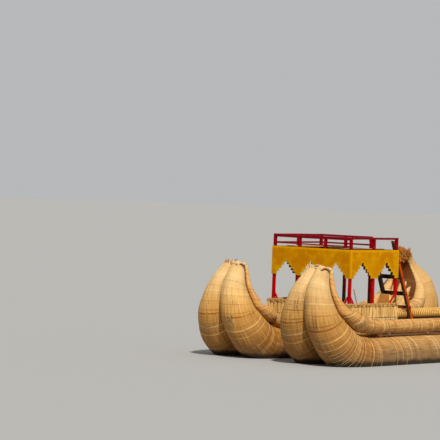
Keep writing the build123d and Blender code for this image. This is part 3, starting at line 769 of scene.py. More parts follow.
def closed_grid(P, U, V):
    """Quads and metre coordinates of a grid whose columns close on themselves."""
    n, c = P.shape[:2]
    I, J = np.meshgrid(np.arange(n - 1), np.arange(c), indexing="ij")
    J2 = (J + 1) % c
    q = np.stack([I * c + J, I * c + J2, (I + 1) * c + J2, (I + 1) * c + J], -1).reshape(-1, 4)
    uv = np.stack([np.stack([U[J], V[I]], -1), np.stack([U[J + 1], V[I]], -1),
                   np.stack([U[J + 1], V[I + 1]], -1), np.stack([U[J], V[I + 1]], -1)], 2).reshape(-1, 4, 2)
    return q, uv


def cap_fan(base, c, centre):
    """Triangles from a ring of c vertices starting at base to the vertex centre."""
    j = np.arange(c)
    return np.stack([base + j, base + (j + 1) % c, np.full(c, centre)], -1)


# where the reeds are streaked brown, flecked grey or more strongly banded:
# (arc position, place round the bundle from -1 to 1, extents, strength)
BROWN = {(1, 1): [(1.43, -.50, .26, .10, 1.0), (0.92, -.45, .22, .06, .55), (4.15, .12, .45, .14, .8), (3.2, .02, .25, .08, .5)],
         (1, -1): [(1.10, -.81, .28, .13, 1.0), (1.45, -.82, .25, .08, .6), (0.55, -.45, .2, .2, .3)],
         (-1, -1): [(1.18, -.40, .16, .12, .9), (1.05, -.54, .14, .06, .5)],
         (-1, 1): [(1.56, -.86, .16, .13, .6), (11.2, -.4, .3, .2, .5)]}
GREY = {(1, 1): [(1.84, -.46, .16, .12, 1.0), (2.25, -.33, .35, .10, .7), (3.9, -.1, .9, .14, .5)],
        (1, -1): [(1.80, -.46, .22, .13, 1.0), (2.1, -.62, .25, .16, .6)],
        (-1, -1): [(2.05, -.34, .22, .2, .55), (1.62, -.56, .12, .1, .5)],
        (-1, 1): [(1.73, -.62, .07, .24, 1.0), (2.0, -.6, .2, .3, .5)]}
BAND = {(1, 1): [(2.10, -.2, .55, .45, 1.0), (3.2, .1, .8, .35, .35)],
        (1, -1): [(1.55, -.78, .42, .4, .9)],
        (-1, -1): [(1.95, -.2, .45, .5, .55)],
        (-1, 1): [(1.55, -.8, .22, .25, .8)]}
SHORT = {(1, 1): 0.125, (1, -1): 0.040, (-1, -1): 0.110, (-1, 1): 0.050}   # bow ends stop under the curl
PALE = {(1, 1): [0.66, 2.06, 2.17, 2.26, 2.37, 2.47, 2.55, 2.66, 2.78, 2.90, 3.3, 3.72, 4.4, 4.9],
        (1, -1): [0.46, 1.09, 1.72], (-1, -1): [0.62, 0.98, 2.22], (-1, 1): [0.45, 1.28, 11.52], }


# bindings that show on the port outer gunwale: arc position, pale (1) or brown (2), turns
ROLL_RINGS = [(0.62, 1, 1), (0.78, 2, 1), (1.05, 2, 1), (1.20, 1, 1), (1.40, 2, 2), (1.49, 2, 1), (1.56, 1, 4), (1.63, 2, 2), (1.72, 2, 1), (1.84, 2, 2),
              (1.90, 2, 1), (1.975, 1, 5), (2.05, 2, 1), (2.40, 2, 1), (2.86, 2, 2), (3.05, 2, 1), (3.36, 1, 2), (3.44, 2, 3), (3.55, 2, 1), (3.86, 2, 1),
              (4.115, 1, 4), (4.28, 1, 2), (4.66, 2, 1), (5.07, 2, 1), (5.105, 1, 4), (5.52, 2, 1), (5.93, 1, 2), (6.05, 2, 1)]


def zones(table, rows, t):
    out = np.zeros((len(rows), len(t)))
    for s, a, ds, da, k in table:
        out = np.maximum(out, k * np.exp(-((rows[:, None] - s) / ds) ** 2 - ((t[None] - a) / da) ** 2))
    return out


def draw_in(s):
    """The outer half of each hull narrows as it turns up into the stern horn."""
    return np.interp(s - SMAX, [-4.4, -3.4, -2.6, -1.8, -1.1, -0.5, 0.0], [1.0, 0.95, 0.83, 0.71, 0.73, 0.85, 1.0])


def main_bundle(side, way, seed):
    rng = np.random.default_rng(seed)
    s0, s1 = SHORT[side, way], SMAX - 0.22
    wraps, rows, mark, phase = wrap_rows(s0, s1, 0.064, rng, 0.26)
    n = len(rows)
    ca, cf = 96, 5
    yc, R = SP[2](rows), SP[3](rows)
    phc = np.arccos(np.clip(-yc / R, -0.9995, 0.9995))
    t = np.linspace(-1, 1, ca)
    ph = phc[:, None] * t[None]
    # hanks: each column its own height, changing slowly along the bundle
    reed = smooth_rows(rng.normal(size=(n, ca)), 13.0)
    reed /= reed.std()
    reed2 = smooth_rows(rng.normal(size=(n, ca)), 3.0)
    reed2 /= reed2.std()
    low = wobble(n, 22, rng)[:, None] * 0.005 + np.outer(wobble(n, 30, rng), np.sin(2 * np.pi * t + 1)) * 0.005 \
        + np.outer(wobble(n, 16, rng), np.cos(3 * np.pi * t)) * 0.003
    tight = rng.uniform(0.3, 1.0, size=n)
    for k in rng.integers(5, n - 5, 26):
        tight[k] = 1.9
    pinch = -0.0048 * (mark * tight)[:, None]
    Rv = R[:, None] - 0.003 + low + 0.0027 * reed + 0.0012 * reed2 + pinch
    # drawn in where the tip is bound
    nip = np.exp(-((rows - s0 - 0.02) / 0.03) ** 2) + np.exp(-((rows - s1 + 0.02) / 0.03) ** 2)
    Rv = np.minimum(Rv, R[:, None] + 0.010) * (1 - 0.07 * nip[:, None])
    u = np.maximum(yc[:, None] + Rv * np.cos(ph), 0.003)
    if way > 0:
        u = np.maximum(u * draw_in(rows)[:, None], 0.003)
    v = Rv * np.sin(ph)
    tf = np.linspace(0, 1, cf + 2)[1:-1]
    vf = v[:, -1][:, None] * (1 - tf) + v[:, 0][:, None] * tf
    uf = np.full_like(vf, 0.003)
    u, v = np.concatenate([u, uf], 1), np.concatenate([v, vf], 1)
    c = ca + cf
    near_tip = np.exp(-((rows - s0) / 0.12) ** 2)[:, None]
    slant = {(1, 1): 0.075, (-1, -1): 0.045}.get((side, way), 0.0) * np.clip(1 - u / 0.11, 0, 1) * near_tip
    if (side, way) == (1, 1):
        slant = (s0 - np.interp(u, [0, .10, .13, .17, .21, .25, .29, .31], [.045, .05, .066, .11, .135, .125, .104, .085])) * near_tip
    P = place(rows[:, None] - slant, u, v, side, way)
    P[..., 2] = np.maximum(P[..., 2], 0.004)
    Uc = np.r_[t * 2.85 * 0.55, 2.85 * 0.55 + np.arange(1, cf + 2) * 0.03]
    q, uv = closed_grid(P, Uc, rows)
    m = Mesh()
    V = P.reshape(-1, 3)
    # ends: sunk a little, closed by a shallow dome in the dark shade material, painted shade behind the cut ends
    e0 = place(np.array([s0 + 0.05]), np.array([yc[0] * 0.8]), np.array([0.0]), side, way)[0]
    e1 = place(np.array([s1 - 0.05]), np.array([yc[-1] * 0.8]), np.array([0.0]), side, way)[0]
    V = np.concatenate([V, [e0, e1]])
    f0, f1 = cap_fan(0, c, n * c)[:, ::-1], cap_fan((n - 1) * c, c, n * c + 1)
    pad = np.zeros((n, cf))
    extra = rng.uniform(-1, 1, 2)
    stern = [(SMAX - 1.55 + 0.2 * extra[0], -.55, .3, .16, .6), (SMAX - 2.1, -.35 + 0.2 * extra[1], .3, .12, .5)]

    def field(table):
        return np.r_[np.concatenate([zones(table, rows, t), pad], 1).ravel(), 0, 0]
    m.add(V, [q, f0, f1], 0,
          [uv, np.zeros(f0.shape + (2,)), np.zeros(f1.shape + (2,))],
          phase=np.r_[np.repeat(phase, c), 0.5, 0.5], ringed=1.0, brown=field(BROWN[side, way] + stern), grey=field(GREY[side, way]),
          band=field(BAND[side, way]), rnd=0.5)
    m.M[-1][:] = 4
    m.M[-2][:] = 4
    # the bindings that stand proud
    nk = 46
    tt = np.linspace(-0.97, 0.97, nk)
    pale = np.array(PALE[side, way] + [SMAX - 0.93, SMAX - 1.9])
    for k, w in enumerate(wraps):
        i = 1 + 2 * k if k < len(wraps) - 1 else n - 2
        near = np.abs(pale - w).min() < 0.029
        if not near and (rng.uniform() > 0.075 or w < 1.25):
            continue
        Rw, yw = float(SP[3](w)), float(SP[2](w))
        rad = (0.0048 if w < 3.0 else 0.0036) if near else rng.uniform(0.0026, 0.0036)
        pc = math.acos(max(-0.9995, min(0.9995, -yw / Rw)))
        Rr = np.interp(tt, t, Rv[i]) + rad * 0.45
        lean = (0.010 * rng.normal() * np.sin(pc * tt) + 0.004 * wobble(nk, 4, rng)) * (0.5 if near else 1)
        Pk = place(w + lean, np.maximum((yw + Rr * np.cos(pc * tt)) * (draw_in(w) if way > 0 else 1.0), 0.004), Rr * np.sin(pc * tt), side, way)
        Pk[:, 2] = np.maximum(Pk[:, 2], rad + 0.002)
        tube(m, Pk, rad, 4, ref=(0, 1, 0.01), mat=1 if near or rng.uniform() < 0.15 else 2, rnd=rng.uniform())
    # stray fibres
    for k in range(110):
        s = rng.uniform(0.3, SMAX - 0.3)
        a = rng.uniform(-0.9, 0.9)
        Rw, yw = float(SP[3](s)), float(SP[2](s))
        pc = math.acos(max(-0.9995, min(0.9995, -yw / Rw))) * a
        l = rng.uniform(0.03, 0.10)
        sl = s + np.linspace(0, l, 4) * rng.choice([-1, 1])
        rr = Rw + np.array([-0.002, 0.004, 0.010, 0.016]) * rng.uniform(0.5, 1.5)
        pa = pc + np.linspace(0, rng.normal() * 0.02, 4)
        Pk = place(sl, (yw + rr * np.cos(pa)) * (draw_in(s) if way > 0 else 1.0), rr * np.sin(pa), side, way)
        if Pk[:, 2].min() < 0.01:
            continue
        tube(m, Pk, np.array([0.0030, 0.0028, 0.0022, 0.0010]), 3, ref=(0.1, 1, 0.05), mat=3, rnd=rng.uniform(), tip=0.0)
    # a torn place with its reeds standing out, on the far hull's inner bundle
    if (side, way) == (-1, -1):
        for k in range(22):
            s = 1.53 + rng.normal() * 0.04
            a = -0.50 + rng.normal() * 0.020
            Rw, yw = float(SP[3](s)), float(SP[2](s))
            pc = math.acos(max(-0.9995, min(0.9995, -yw / Rw))) * a
            l = rng.uniform(0.05, 0.16)
            sl = s + np.linspace(0, l, 4) * (-1 if rng.uniform() < 0.7 else 1)
            rr = Rw + np.array([-0.006, 0.012, 0.022, 0.030]) * rng.uniform(0.5, 1.4)
            pa = pc + np.linspace(0, rng.normal() * 0.10, 4)
            tube(m, place(sl, yw + rr * np.cos(pa), rr * np.sin(pa), side, way), np.array([0.007, 0.007, 0.006, 0.003]), 4,
                 ref=(0.1, 1, 0.05), mat=5, rnd=rng.uniform(0.0, 0.7), tip=0.2)
    return m


def cut_ends(m, s_at, side, way, count, out, length, rng, mat=3, spread=1.0, lean=None, rad0=0.008):
    """Cut reed ends standing out of a bundle's end face."""
    x, z, nx, nz, tx, tz = [float(q) for q in path(np.array(s_at))]
    yc, R = float(SP[2](s_at)), float(SP[3](s_at))
    g = 0
    while g < count:
        a, r = rng.uniform(0, 2 * np.pi), R * 0.92 * math.sqrt(rng.uniform())
        u, v = yc + r * math.cos(a), r * math.sin(a)
        if u < 0.006:
            continue
        g += 1
        base = np.array([x + v * nx, side * (HY + way * u), z + v * nz])
        T = np.array([tx, 0, tz]) * out
        ra = np.array([nx * math.sin(a), side * way * math.cos(a), nz * math.sin(a)]) * (r / R)
        d = T + ra * spread * rng.uniform(0.2, 0.6) + rng.normal(size=3) * 0.10
        if lean is not None:
            d = d + np.asarray(lean) * rng.uniform(0.6, 1.2)
        d /= np.linalg.norm(d)
        l = length * rng.uniform(0.35, 1.0)
        k = np.linspace(0, 1, 3)
        P = base - T * 0.06 + np.outer(k, d) * (l + 0.06) + np.outer(k ** 2, rng.normal(size=3) * 0.015)
        tube(m, P, rad0 * rng.uniform(0.7, 1.2) * np.array([1, 1, 0.85]), 5, ref=(0.2, 1, 0.1), mat=mat,
             rnd=rng.uniform(), tip=np.array([0.0, 0.2, 0.8]) * rng.uniform(0.3, 1))


def brush(m, side, rng, mat):
    """The stern horn's head: cut reeds fanning out in a rounded brush, with a fringe hanging on its inner side."""
    C = local(SMAX - 0.155, side, 0.0, 0.03, 0.0)
    x, z, nx, nz, tx, tz = [float(q) for q in path(np.array(SMAX - 0.13))]
    T, N, S = np.array([tx, 0, tz]), np.array([nx, 0, nz]), np.array([0, side, 0.0])
    for k in range(820):
        d = rng.normal(size=3)
        d /= np.linalg.norm(d)
        a, b, c = d[0], d[1], abs(d[2]) - 0.42
        q = T * c + N * b + S * a
        q /= np.linalg.norm(q)
        reach = 1 / math.sqrt((q @ S / (0.325 if q @ S > 0 else 0.345)) ** 2 + (q @ T / (0.310 if q @ T > 0 else 0.250)) ** 2 + (q @ N / 0.285) ** 2)
        if q @ T > 0 and q @ S < 0:
            reach *= 1 - 0.42 * math.sqrt(2 * (q @ T) * -(q @ S))
        l = reach * rng.uniform(0.78, 1.03)
        t = np.array([0.35, 0.72, 1.0])
        P = C + np.outer(t, q) * l + np.outer(t ** 2, rng.normal(size=3) * 0.012)
        tube(m, P, rng.uniform(0.008, 0.0125) * np.array([0.9, 1, 0.95]), 5, ref=(0.2, 1, 0.1), mat=mat, rnd=rng.uniform(),
             tip=np.array([0.3, 0.1, 0.5 + 0.5 * rng.uniform()]) * rng.uniform(0.2, 1))
    for k in range(60):
        a = rng.uniform(-1, 1)
        base = local(SMAX - 0.21 + 0.02 * rng.normal(), side, 0.25 * a, 0.17 * math.sqrt(1 - 0.6 * a * a) + 0.02 * rng.normal(), 0.0)
        d = N * rng.uniform(0.2, 0.9) - T * rng.uniform(0.3, 1.0) + S * a * 0.5 + rng.normal(size=3) * 0.2
        d /= np.linalg.norm(d)
        t = np.linspace(0, 1, 4)
        P = base + np.outer(t, d) * rng.uniform(0.03, 0.07) + np.outer(t ** 2, [0, 0, -0.015])
        tube(m, P, rng.uniform(0.005, 0.009) * np.array([1, 1, 0.9, 0.7]), 5, ref=(0.2, 1, 0.1), mat=mat, rnd=rng.uniform(), tip=0.2)


def roll_geo(side, way, kr, ka, kg, seed):
    """A gunwale roll with its bindings; its bow end curls over the horn's tip."""
    rng = np.random.default_rng(seed)
    wraps, rows, mark, phase = wrap_rows(0.045 if (side, way) != (-1, 1) else 0.0, SMAX - 0.30, 0.098, rng, 0.3)
    n, c = len(rows), 28
    r = np.maximum(SP[kr](rows), 0.028)
    a = np.radians(SP[ka](rows))
    gap = np.maximum(SP[kg](rows), 0.0)
    d = SP[3](rows) + r + gap
    uc, vc = SP[2](rows) + d * np.sin(a), d * np.cos(a)
    uc = np.maximum(uc, r + 0.012)
    # fuller where the stern horn turns up, and there nearer the hull's middle
    full = np.interp(rows - SMAX, [-4.6, -3.4, -2.5, -1.9, -1.45, -1.1, -0.75, -0.3], [1.0, 1.04, 1.08, 1.15, 1.25, 1.22, 1.10, 1.0])
    if way > 0:
        full = np.interp(rows - SMAX, [-2.6, -2.0, -1.45, -1.1, -0.75, -0.3], [1.0, 1.10, 1.36, 1.36, 1.22, 1.1])
    r2 = r * full
    d2 = SP[3](rows) + r2 + gap
    sn = np.clip((uc - (r2 - r) - 0.10 * (r2 - r) - SP[2](rows)) / d2, -0.9, 0.9)
    back = rows > SMAX - 4.6
    uc = np.where(back, np.maximum(SP[2](rows) + d2 * sn, r2 + 0.012), uc)
    vc = np.where(back, d2 * np.sqrt(1 - sn ** 2), vc)
    r = np.where(back, r2, r)
    fat = np.interp(rows, [0.3, 0.9, 1.3, 1.8, 2.3, 3.0], [1.0, 1.13, 1.25, 1.22, 1.10, 1.0])
    vc = vc + 0.8 * r * (fat - 1)
    r = r * fat
    if way > 0:
        uc = uc * draw_in(rows) - 0.10 * np.clip(1 - np.abs(rows - SMAX + 1.5) / 1.0, 0, 1)
    uc = np.maximum(uc, r + 0.012)
    th = 2 * np.pi * np.arange(c) / c
    lump = smooth_rows(rng.normal(size=(n, c)), 6.0)
    lump /= lump.std()
    rr = r[:, None] * (1 + 0.020 * wobble(n, 8, rng)[:, None]) - 0.0030 * mark[:, None] + 0.0018 * lump
    rr = np.minimum(rr, r[:, None] + 0.005)
    u = uc[:, None] + rr * np.cos(th)
    v = vc[:, None] + rr * np.sin(th)
    P = place(rows[:, None] + 0 * u, u, v, side, way)
    q, uv = closed_grid(P, np.r_[th, 2 * np.pi] * 0.18, rows)
    V = P.reshape(-1, 3)
    m = Mesh()
    V = np.concatenate([V, [P[0].mean(0), P[-1].mean(0)]])
    f0, f1 = cap_fan(0, c, n * c)[:, ::-1], cap_fan((n - 1) * c, c, n * c + 1)
    brown = zones([(1.6, 0.0, .5, 9, .14), (3.3, 0.0, .3, 9, .14), (SMAX - 2.2, 0, .4, 9, .12)], rows, th)
    m.add(V, [q, f0, f1], 0, [uv, np.zeros(f0.shape + (2,)), np.zeros(f1.shape + (2,))],
          phase=np.r_[np.repeat(phase, c), 0.5, 0.5], ringed=1.0, brown=np.r_[brown.ravel(), 0, 0], rnd=0.5)
    # pairs of pale turns, with single thin ones between
    nk = 24
    tk = 2 * np.pi * np.arange(nk) / nk
    stops, s = [], 0.70
    while s < SMAX - 0.6:
        pair = rng.uniform() < 0.5
        stops.append((s, 0.0046, 1))
        if pair:
            stops.append((s + 0.030, 0.0040, 2))
        for f in (0.35, 0.7):
            if rng.uniform() < 0.7:
                stops.append((s + f * 0.4 + 0.02 * rng.normal(), 0.0030, 2))
        s += rng.uniform(0.38, 0.75)
    if (side, way) == (1, 1):
        stops = [q for q in stops if q[0] > 6.2]
        for q, mt, k in ROLL_RINGS:
            stops += [(q + 0.0115 * (e - (k - 1) / 2), 0.0051 if mt == 1 else 0.0046, mt) for e in range(k)]
    for w, rad, mt in stops:
        f = np.interp(w, rows, np.arange(n))
        i, g = int(f), f - int(f)
        ring = rr[i] * (1 - g) + rr[min(i + 1, n - 1)] * g
        Rr = np.interp(tk, np.r_[th, 2 * np.pi], np.r_[ring, ring[0]]) + rad * 0.5
        uu = np.interp(w, rows, uc) + Rr * np.cos(tk)
        vv = np.interp(w, rows, vc) + Rr * np.sin(tk)
        ss = w + 0.008 * rng.normal() * np.sin(tk + rng.uniform(0, 6)) * (r[i] / 0.18)
        tube(m, place(ss, uu, vv, side, way), rad, 4, ref=(0, 1, 0.01), closed=True, mat=mt, rnd=rng.uniform(0.1, 0.6))
    # the curl over the bow tip, with the dark hollow under it
    if (side, way) != (-1, 1):
        if side > 0:
            cu = np.array([uc[0] + 0.03, 0.372, 0.340, 0.304, 0.267, 0.232, 0.187])
            cv = np.array([vc[0] + 0.004, 0.125, 0.085, 0.030, -0.040, -0.100, -0.130])
            cw = np.array([-0.105, -0.040, 0.006, 0.017, -0.017, -0.069, -0.117])
            rad = np.array([0.060, 0.055, 0.047, 0.041, 0.038, 0.035, 0.028])
        else:
            cu = np.array([uc[0] + 0.02, 0.335, 0.300, 0.250, 0.185, 0.135, 0.095])
            cv = np.array([vc[0] + 0.004, 0.120, 0.090, 0.050, 0.020, 0.000, -0.010])
            cw = np.array([-0.105, -0.045, -0.008, 0.008, 0.004, -0.004, -0.018])
            rad = np.array([0.052, 0.048, 0.040, 0.036, 0.033, 0.032, 0.028])
        if (side, way) == (1, -1):
            cu = cu - 0.03
            cw = cw - 0.02
        cu = way * cu
        tt = np.linspace(0, 6, 40)
        cs = [Mono(np.arange(7.0), q_) for q_ in (cu, cv, cw, rad)]
        Pc = local(0.0, side, cs[0](tt), cs[1](tt), cs[2](tt))
        tube(m, Pc, cs[3](tt) * (1 + 0.04 * wobble(40, 2, rng)), 14, ref=(0.25, 0.2, 1), mat=5, rnd=0.75, tip=0.0)
        for f in (1.6, 1.8, 3.4, 4.7):
            i = int(f / 6 * 39)
            T = Pc[min(i + 1, 39)] - Pc[i - 1]
            T /= np.linalg.norm(T)
            A = np.cross(T, (0.3, 0.1, 1.0))
            A /= np.linalg.norm(A)
            B = np.cross(T, A)
            rg = float(cs[3](f)) + 0.002
            ring = Pc[i] + rg * (np.cos(tk)[:, None] * A + np.sin(tk)[:, None] * B)
            tube(m, ring, 0.0040, 4, ref=T, closed=True, mat=2, rnd=0.7)
        # reddish-brown broken reeds on its underside; the dark packing in the hollow is painted shade
        for j in range(46):
            f = rng.uniform(1.6, 5.6)
            b = local(0.0, side, cs[0](f), cs[1](f) - rng.uniform(0.0, 0.02), cs[2](f) - float(cs[3](f)) * rng.uniform(0.75, 1.0))
            d = np.array([0.5, side * way * 0.2, -1.0]) + 0.5 * rng.normal(size=3)
            d /= np.linalg.norm(d)
            tube(m, b + np.outer(np.linspace(-0.4, 1, 3), d) * rng.uniform(0.012, 0.030), rng.uniform(0.005, 0.009), 4, ref=(0.3, 1, 0.1),
                 mat=3, rnd=rng.uniform(0.0, 0.35), tip=0.4)
        if (side, way) == (1, 1):
            # a tube in the dark shade material under the curl: painted shade
            k4 = np.linspace(0, 3, 16)
            hd, hv, hw, hr = [Mono(np.arange(4.0), np.array(q_)) for q_ in ((.231, .282, .306, .336), (-.160, -.140, -.090, -.050),
                                                                           (-.160, -.119, -.071, -.061), (.014, .019, .023, .026))]
            tube(m, local(0.0, side, hd(k4), hv(k4), hw(k4)), hr(k4), 8, ref=(0.25, 0.2, 1), mat=4, rnd=0.0, tip=0.0)
            for j in range(26):
                f = rng.uniform(0.2, 3.0)
                b = local(0.0, side, hd(f) + 0.006 * rng.normal(), hv(f) - 0.012, hw(f) + float(hr(f)) + 0.010 + 0.006 * rng.normal())
                d = np.array([0.3, 0.3, -1.0]) + 0.5 * rng.normal(size=3)
                d /= np.linalg.norm(d)
                tube(m, b + np.outer(np.linspace(-0.5, 1, 3), d) * rng.uniform(0.010, 0.022), rng.uniform(0.004, 0.008), 4, ref=(0.3, 1, 0.1),
                     mat=3, rnd=rng.uniform(0.0, 0.3), tip=0.3)
        # packing in the hollow: tubes in the dark shade material, painted shade
        for j in range(6):
            P2 = local(0.0, side, cs[0](tt) - way * 0.010, cs[1](tt) + 0.030 + 0.018 * j, cs[2](tt) - 0.058 - 0.020 * (j % 3))
            tube(m, P2[8:], 0.034, 8, ref=(0.25, 0.2, 1), mat=4, rnd=rng.uniform(0, 0.4), tip=0.3)
    return m


def heart_geo(side, seed):
    rng = np.random.default_rng(seed)
    sa, sb = 1.02, SMAX - 1.28
    wraps, rows, mark, phase = wrap_rows(sa, sb, 0.12, rng, 0.3)
    n, c = len(rows), 28
    taper = np.clip(np.minimum((rows - sa) / 0.45, (sb - rows) / 0.45), 0, 1) ** 0.6
    r = np.maximum(SP[10](rows), 0.045) * (0.25 + 0.75 * taper)
    R, yc = SP[3](rows), SP[2](rows)
    vc = np.sqrt((R + r + 0.008) ** 2 - yc ** 2)
    th = 2 * np.pi * np.arange(c) / c
    rr = r[:, None] * (1 + 0.02 * wobble(n, 9, rng)[:, None]) - 0.004 * mark[:, None] + 0.0022 * rng.normal(size=(1, c))
    P = place(rows[:, None] + 0 * rr, rr * np.cos(th), vc[:, None] + rr * np.sin(th), side, 1)
    q, uv = closed_grid(P, np.r_[th, 2 * np.pi] * 0.22, rows)
    V = np.concatenate([P.reshape(-1, 3), [P[0].mean(0), P[-1].mean(0)]])
    m = Mesh()
    f0, f1 = cap_fan(0, c, n * c)[:, ::-1], cap_fan((n - 1) * c, c, n * c + 1)
    m.add(V, [q, f0, f1], 0, [uv, np.zeros(f0.shape + (2,)), np.zeros(f1.shape + (2,))],
          phase=np.r_[np.repeat(phase, c), 0.5, 0.5], ringed=1.0, rnd=0.5)
    # pointed hanks that lie up the inside of each horn: across (minus: to the boat's middle), distance from the tip, radius
    for end in (0, 1):
        for dy, off, rk0 in (((-0.16, 1.45, 0.085), (-0.34, 1.56, 0.090), (0.04, 1.38, 0.090), (0.23, 1.50, 0.090), (-0.06, 1.62, 0.095),
                              (0.38, 1.60, 0.085)) if end == 0 else
                             ((-0.190, 0.90, 0.080), (-0.400, 1.16, 0.092), (0.030, 0.94, 0.085), (0.21, 1.05, 0.085), (-0.08, 1.40, 0.11), (-0.29, 1.45, 0.11),
                              (-0.45, 1.62, 0.11), (0.12, 1.40, 0.11), (0.36, 1.30, 0.09))):
            s_end = (off - 0.36) if end == 0 else (SMAX - off)
            s_start = s_end + (1.15 if end == 0 else -1.15)
            ss = np.linspace(s_start, s_end, 26)
            f = np.linspace(0, 1, 26)
            rk = rk0 * np.interp(f, [0, 0.3, 0.70, 0.86, 0.95, 1], [1.15, 1.12, 0.98, 0.70, 0.36, 0.10]) * (1 + 0.02 * wobble(26, 2, rng))
            Rk, yk = SP[3](ss), SP[2](ss)
            narrow = np.interp(f, [0, 1], [0.55, 1.0])
            uk = dy * narrow + 0.006 * wobble(26, 5, rng)
            vk = np.sqrt(np.maximum((Rk + rk) ** 2 - (np.abs(uk) - yk) ** 2, 0.01)) + 0.012
            tube(m, place(ss, uk, vk, side, 1), rk, 14, ref=(0, 1, 0.01), mat=3, rnd=rng.uniform(0.35, 0.65),
                 tip=np.interp(f, [0, 0.75, 1], [0, 0.05, 0.5]))
            for j in (6, 13, 19):
                A, B = np.array([0, 1.0, 0]), None
                Pj = place(ss, uk, vk, side, 1)
                T = Pj[j + 1] - Pj[j - 1]
                T /= np.linalg.norm(T)
                B = np.cross(T, A)
                tk = 2 * np.pi * np.arange(16) / 16
                ring = Pj[j] + (rk[j] + 0.002) * (np.cos(tk)[:, None] * A + np.sin(tk)[:, None] * B)
                tube(m, ring, 0.0038, 4, ref=T, closed=True, mat=2, rnd=rng.uniform())
        # the brown mat that lines the horn above them, dark as painted shade
        lo, hi = ((0.05, 1.35) if end == 0 else (SMAX - 1.72, SMAX - 0.20))
        ss = np.linspace(lo, hi, 22)
        Rk, yk = SP[3](ss), SP[2](ss)
        for kr, ka, kg, sg in ((4, 5, 6, 1), (7, 8, 9, -1)):
            rg = np.maximum(SP[kr](ss), 0.028)
            dg = Rk + rg + np.maximum(SP[kg](ss), 0.0)
            ub = yk + dg * np.sin(np.radians(SP[ka](ss))) - rg * 0.80
            for j in range(15):
                f = (j + 0.5) / 15
                uk = np.maximum(ub * f, 0.004)
                vk = np.sqrt(np.maximum(Rk ** 2 - (uk - yk) ** 2, 0.0)) * 0.25 + Rk * 0.75 + 0.010 + 0.0015 * rng.normal()
                tube(m, place(ss, sg * uk, vk, side, 1), np.interp(ub / 15 * 0.62, [0, 1], [0, 1]) + 0.002, 6, ref=(0, 1, 0.01), mat=4,
                     rnd=float(np.clip(0.5 + 0.2 * rng.normal(), 0, 1)), tip=0.0)
    return m


def ridge(m, side, rng, mat, blue):
    """Hanks laid across a bow horn's tip and tied down: the lumpy head between the two bundle ends."""
    if side > 0:
        dys = np.array([-0.412, -0.400, -0.358, -0.262, -0.077, 0.039, 0.140, 0.200])
        ws = np.array([-0.090, -0.022, 0.014, 0.028, 0.048, 0.032, 0.006, -0.026])
    else:
        dys = np.array([0.150, 0.125, 0.095, 0.045, -0.010, -0.060, -0.110, -0.160])
        ws = np.array([-0.080, -0.010, 0.028, 0.042, 0.036, 0.024, 0.010, -0.020])
    t = np.linspace(0, 7, 46)
    k = np.arange(8.0)
    cy, cw, cv = Mono(k, dys), Mono(k, ws), Mono(k, 0 * k)
    # strands from the front to the back of the tip, and lower ones that fill down to the bundle ends
    lay = [(-0.075, -0.026), (-0.045, 0.0), (0.0, -0.002), (0.045, 0.004), (0.09, 0.0), (0.135, -0.004), (-0.09, -0.060), (-0.03, -0.058), (0.04, -0.06),
           (0.11, -0.06)]
    for j, (v, dw) in enumerate(lay):
        a = Mono(k, dys - 0.90 * v * (1 if side > 0 else -1) + 0.006 * rng.normal(size=8))
        b = Mono(k, ws + 0.44 * v + dw + 0.006 * rng.normal(size=8))
        P = local(0.0, side, a(t), v + 0.010 * wobble(46, 6, rng), b(t))
        rad = 0.044 * (1 + 0.07 * wobble(46, 3, rng)) * np.interp(t, [0, 0.6, 6.4, 7], [0.6, 1, 1, 0.6])
        tube(m, P, rad, 10, ref=(0.3, 0.1, 1), mat=mat, rnd=rng.uniform(0.5, 0.95), tip=0.0)
    # a dark gap between two of the hanks: a tube of painted shade, brown round it
    hole = [(-0.123, 0.022), (-0.075, 0.012), (-0.030, 0.011), (0.024, 0.027)] if side > 0 else [(0.115, -0.055), (0.100, -0.030), (0.085, -0.010)]
    H = local(0.0, side, np.array([q[0] for q in hole]) + 0.055 * side, -0.118, np.array([q[1] for q in hole]) - 0.020)
    tube(m, H, 0.025 if side > 0 else 0.022, 8, ref=(0.3, 0.1, 1), mat=4, rnd=0.1, tip=0.5)
    for s0 in (1.2, 2.3, 2.45, 5.0, 5.9):
        i = int(s0 / 7 * 45)
        P = local(0.0, side, cy(t), cv(t) * 0 + 0.0, cw(t))
        T = P[i + 1] - P[i - 1]
        T /= np.linalg.norm(T)
        x, z, nx, nz, tx, tz = [float(q_) for q_ in path(np.array(0.0))]
        A, B = np.array([nx, 0, nz]), np.cross(T, np.array([nx, 0, nz]))
        B /= np.linalg.norm(B)
        tk = 2 * np.pi * np.arange(20) / 20
        ring = P[i] + 0.118 * np.cos(tk)[:, None] * A + 0.042 * np.sin(tk)[:, None] * B
        tube(m, ring, 0.0055, 5, ref=T, closed=True, mat=1, rnd=rng.uniform())
        if blue and s0 == 5.0:
            for e in range(5):
                r2 = ring + T * 0.013 * (e - 1) + 0.006 * rng.normal(size=3)
                tube(m, (r2 - P[i]) * 1.04 + P[i], 0.0075, 5, ref=T, closed=True, mat=blue, rnd=rng.uniform())
            for e in range(4):
                st = P[i] + B * 0.05 + A * (-0.05 + 0.03 * e)
                tt = np.linspace(0, 1, 6)
                d = np.array([rng.normal() * 0.03, side * 0.02 + rng.normal() * 0.03, 0.05])
                tube(m, st + np.outer(tt, d) + np.outer(tt ** 2, [0.02, 0, -0.05]), 0.006, 5, ref=(1, 0.1, 0.2), mat=blue, rnd=rng.uniform())


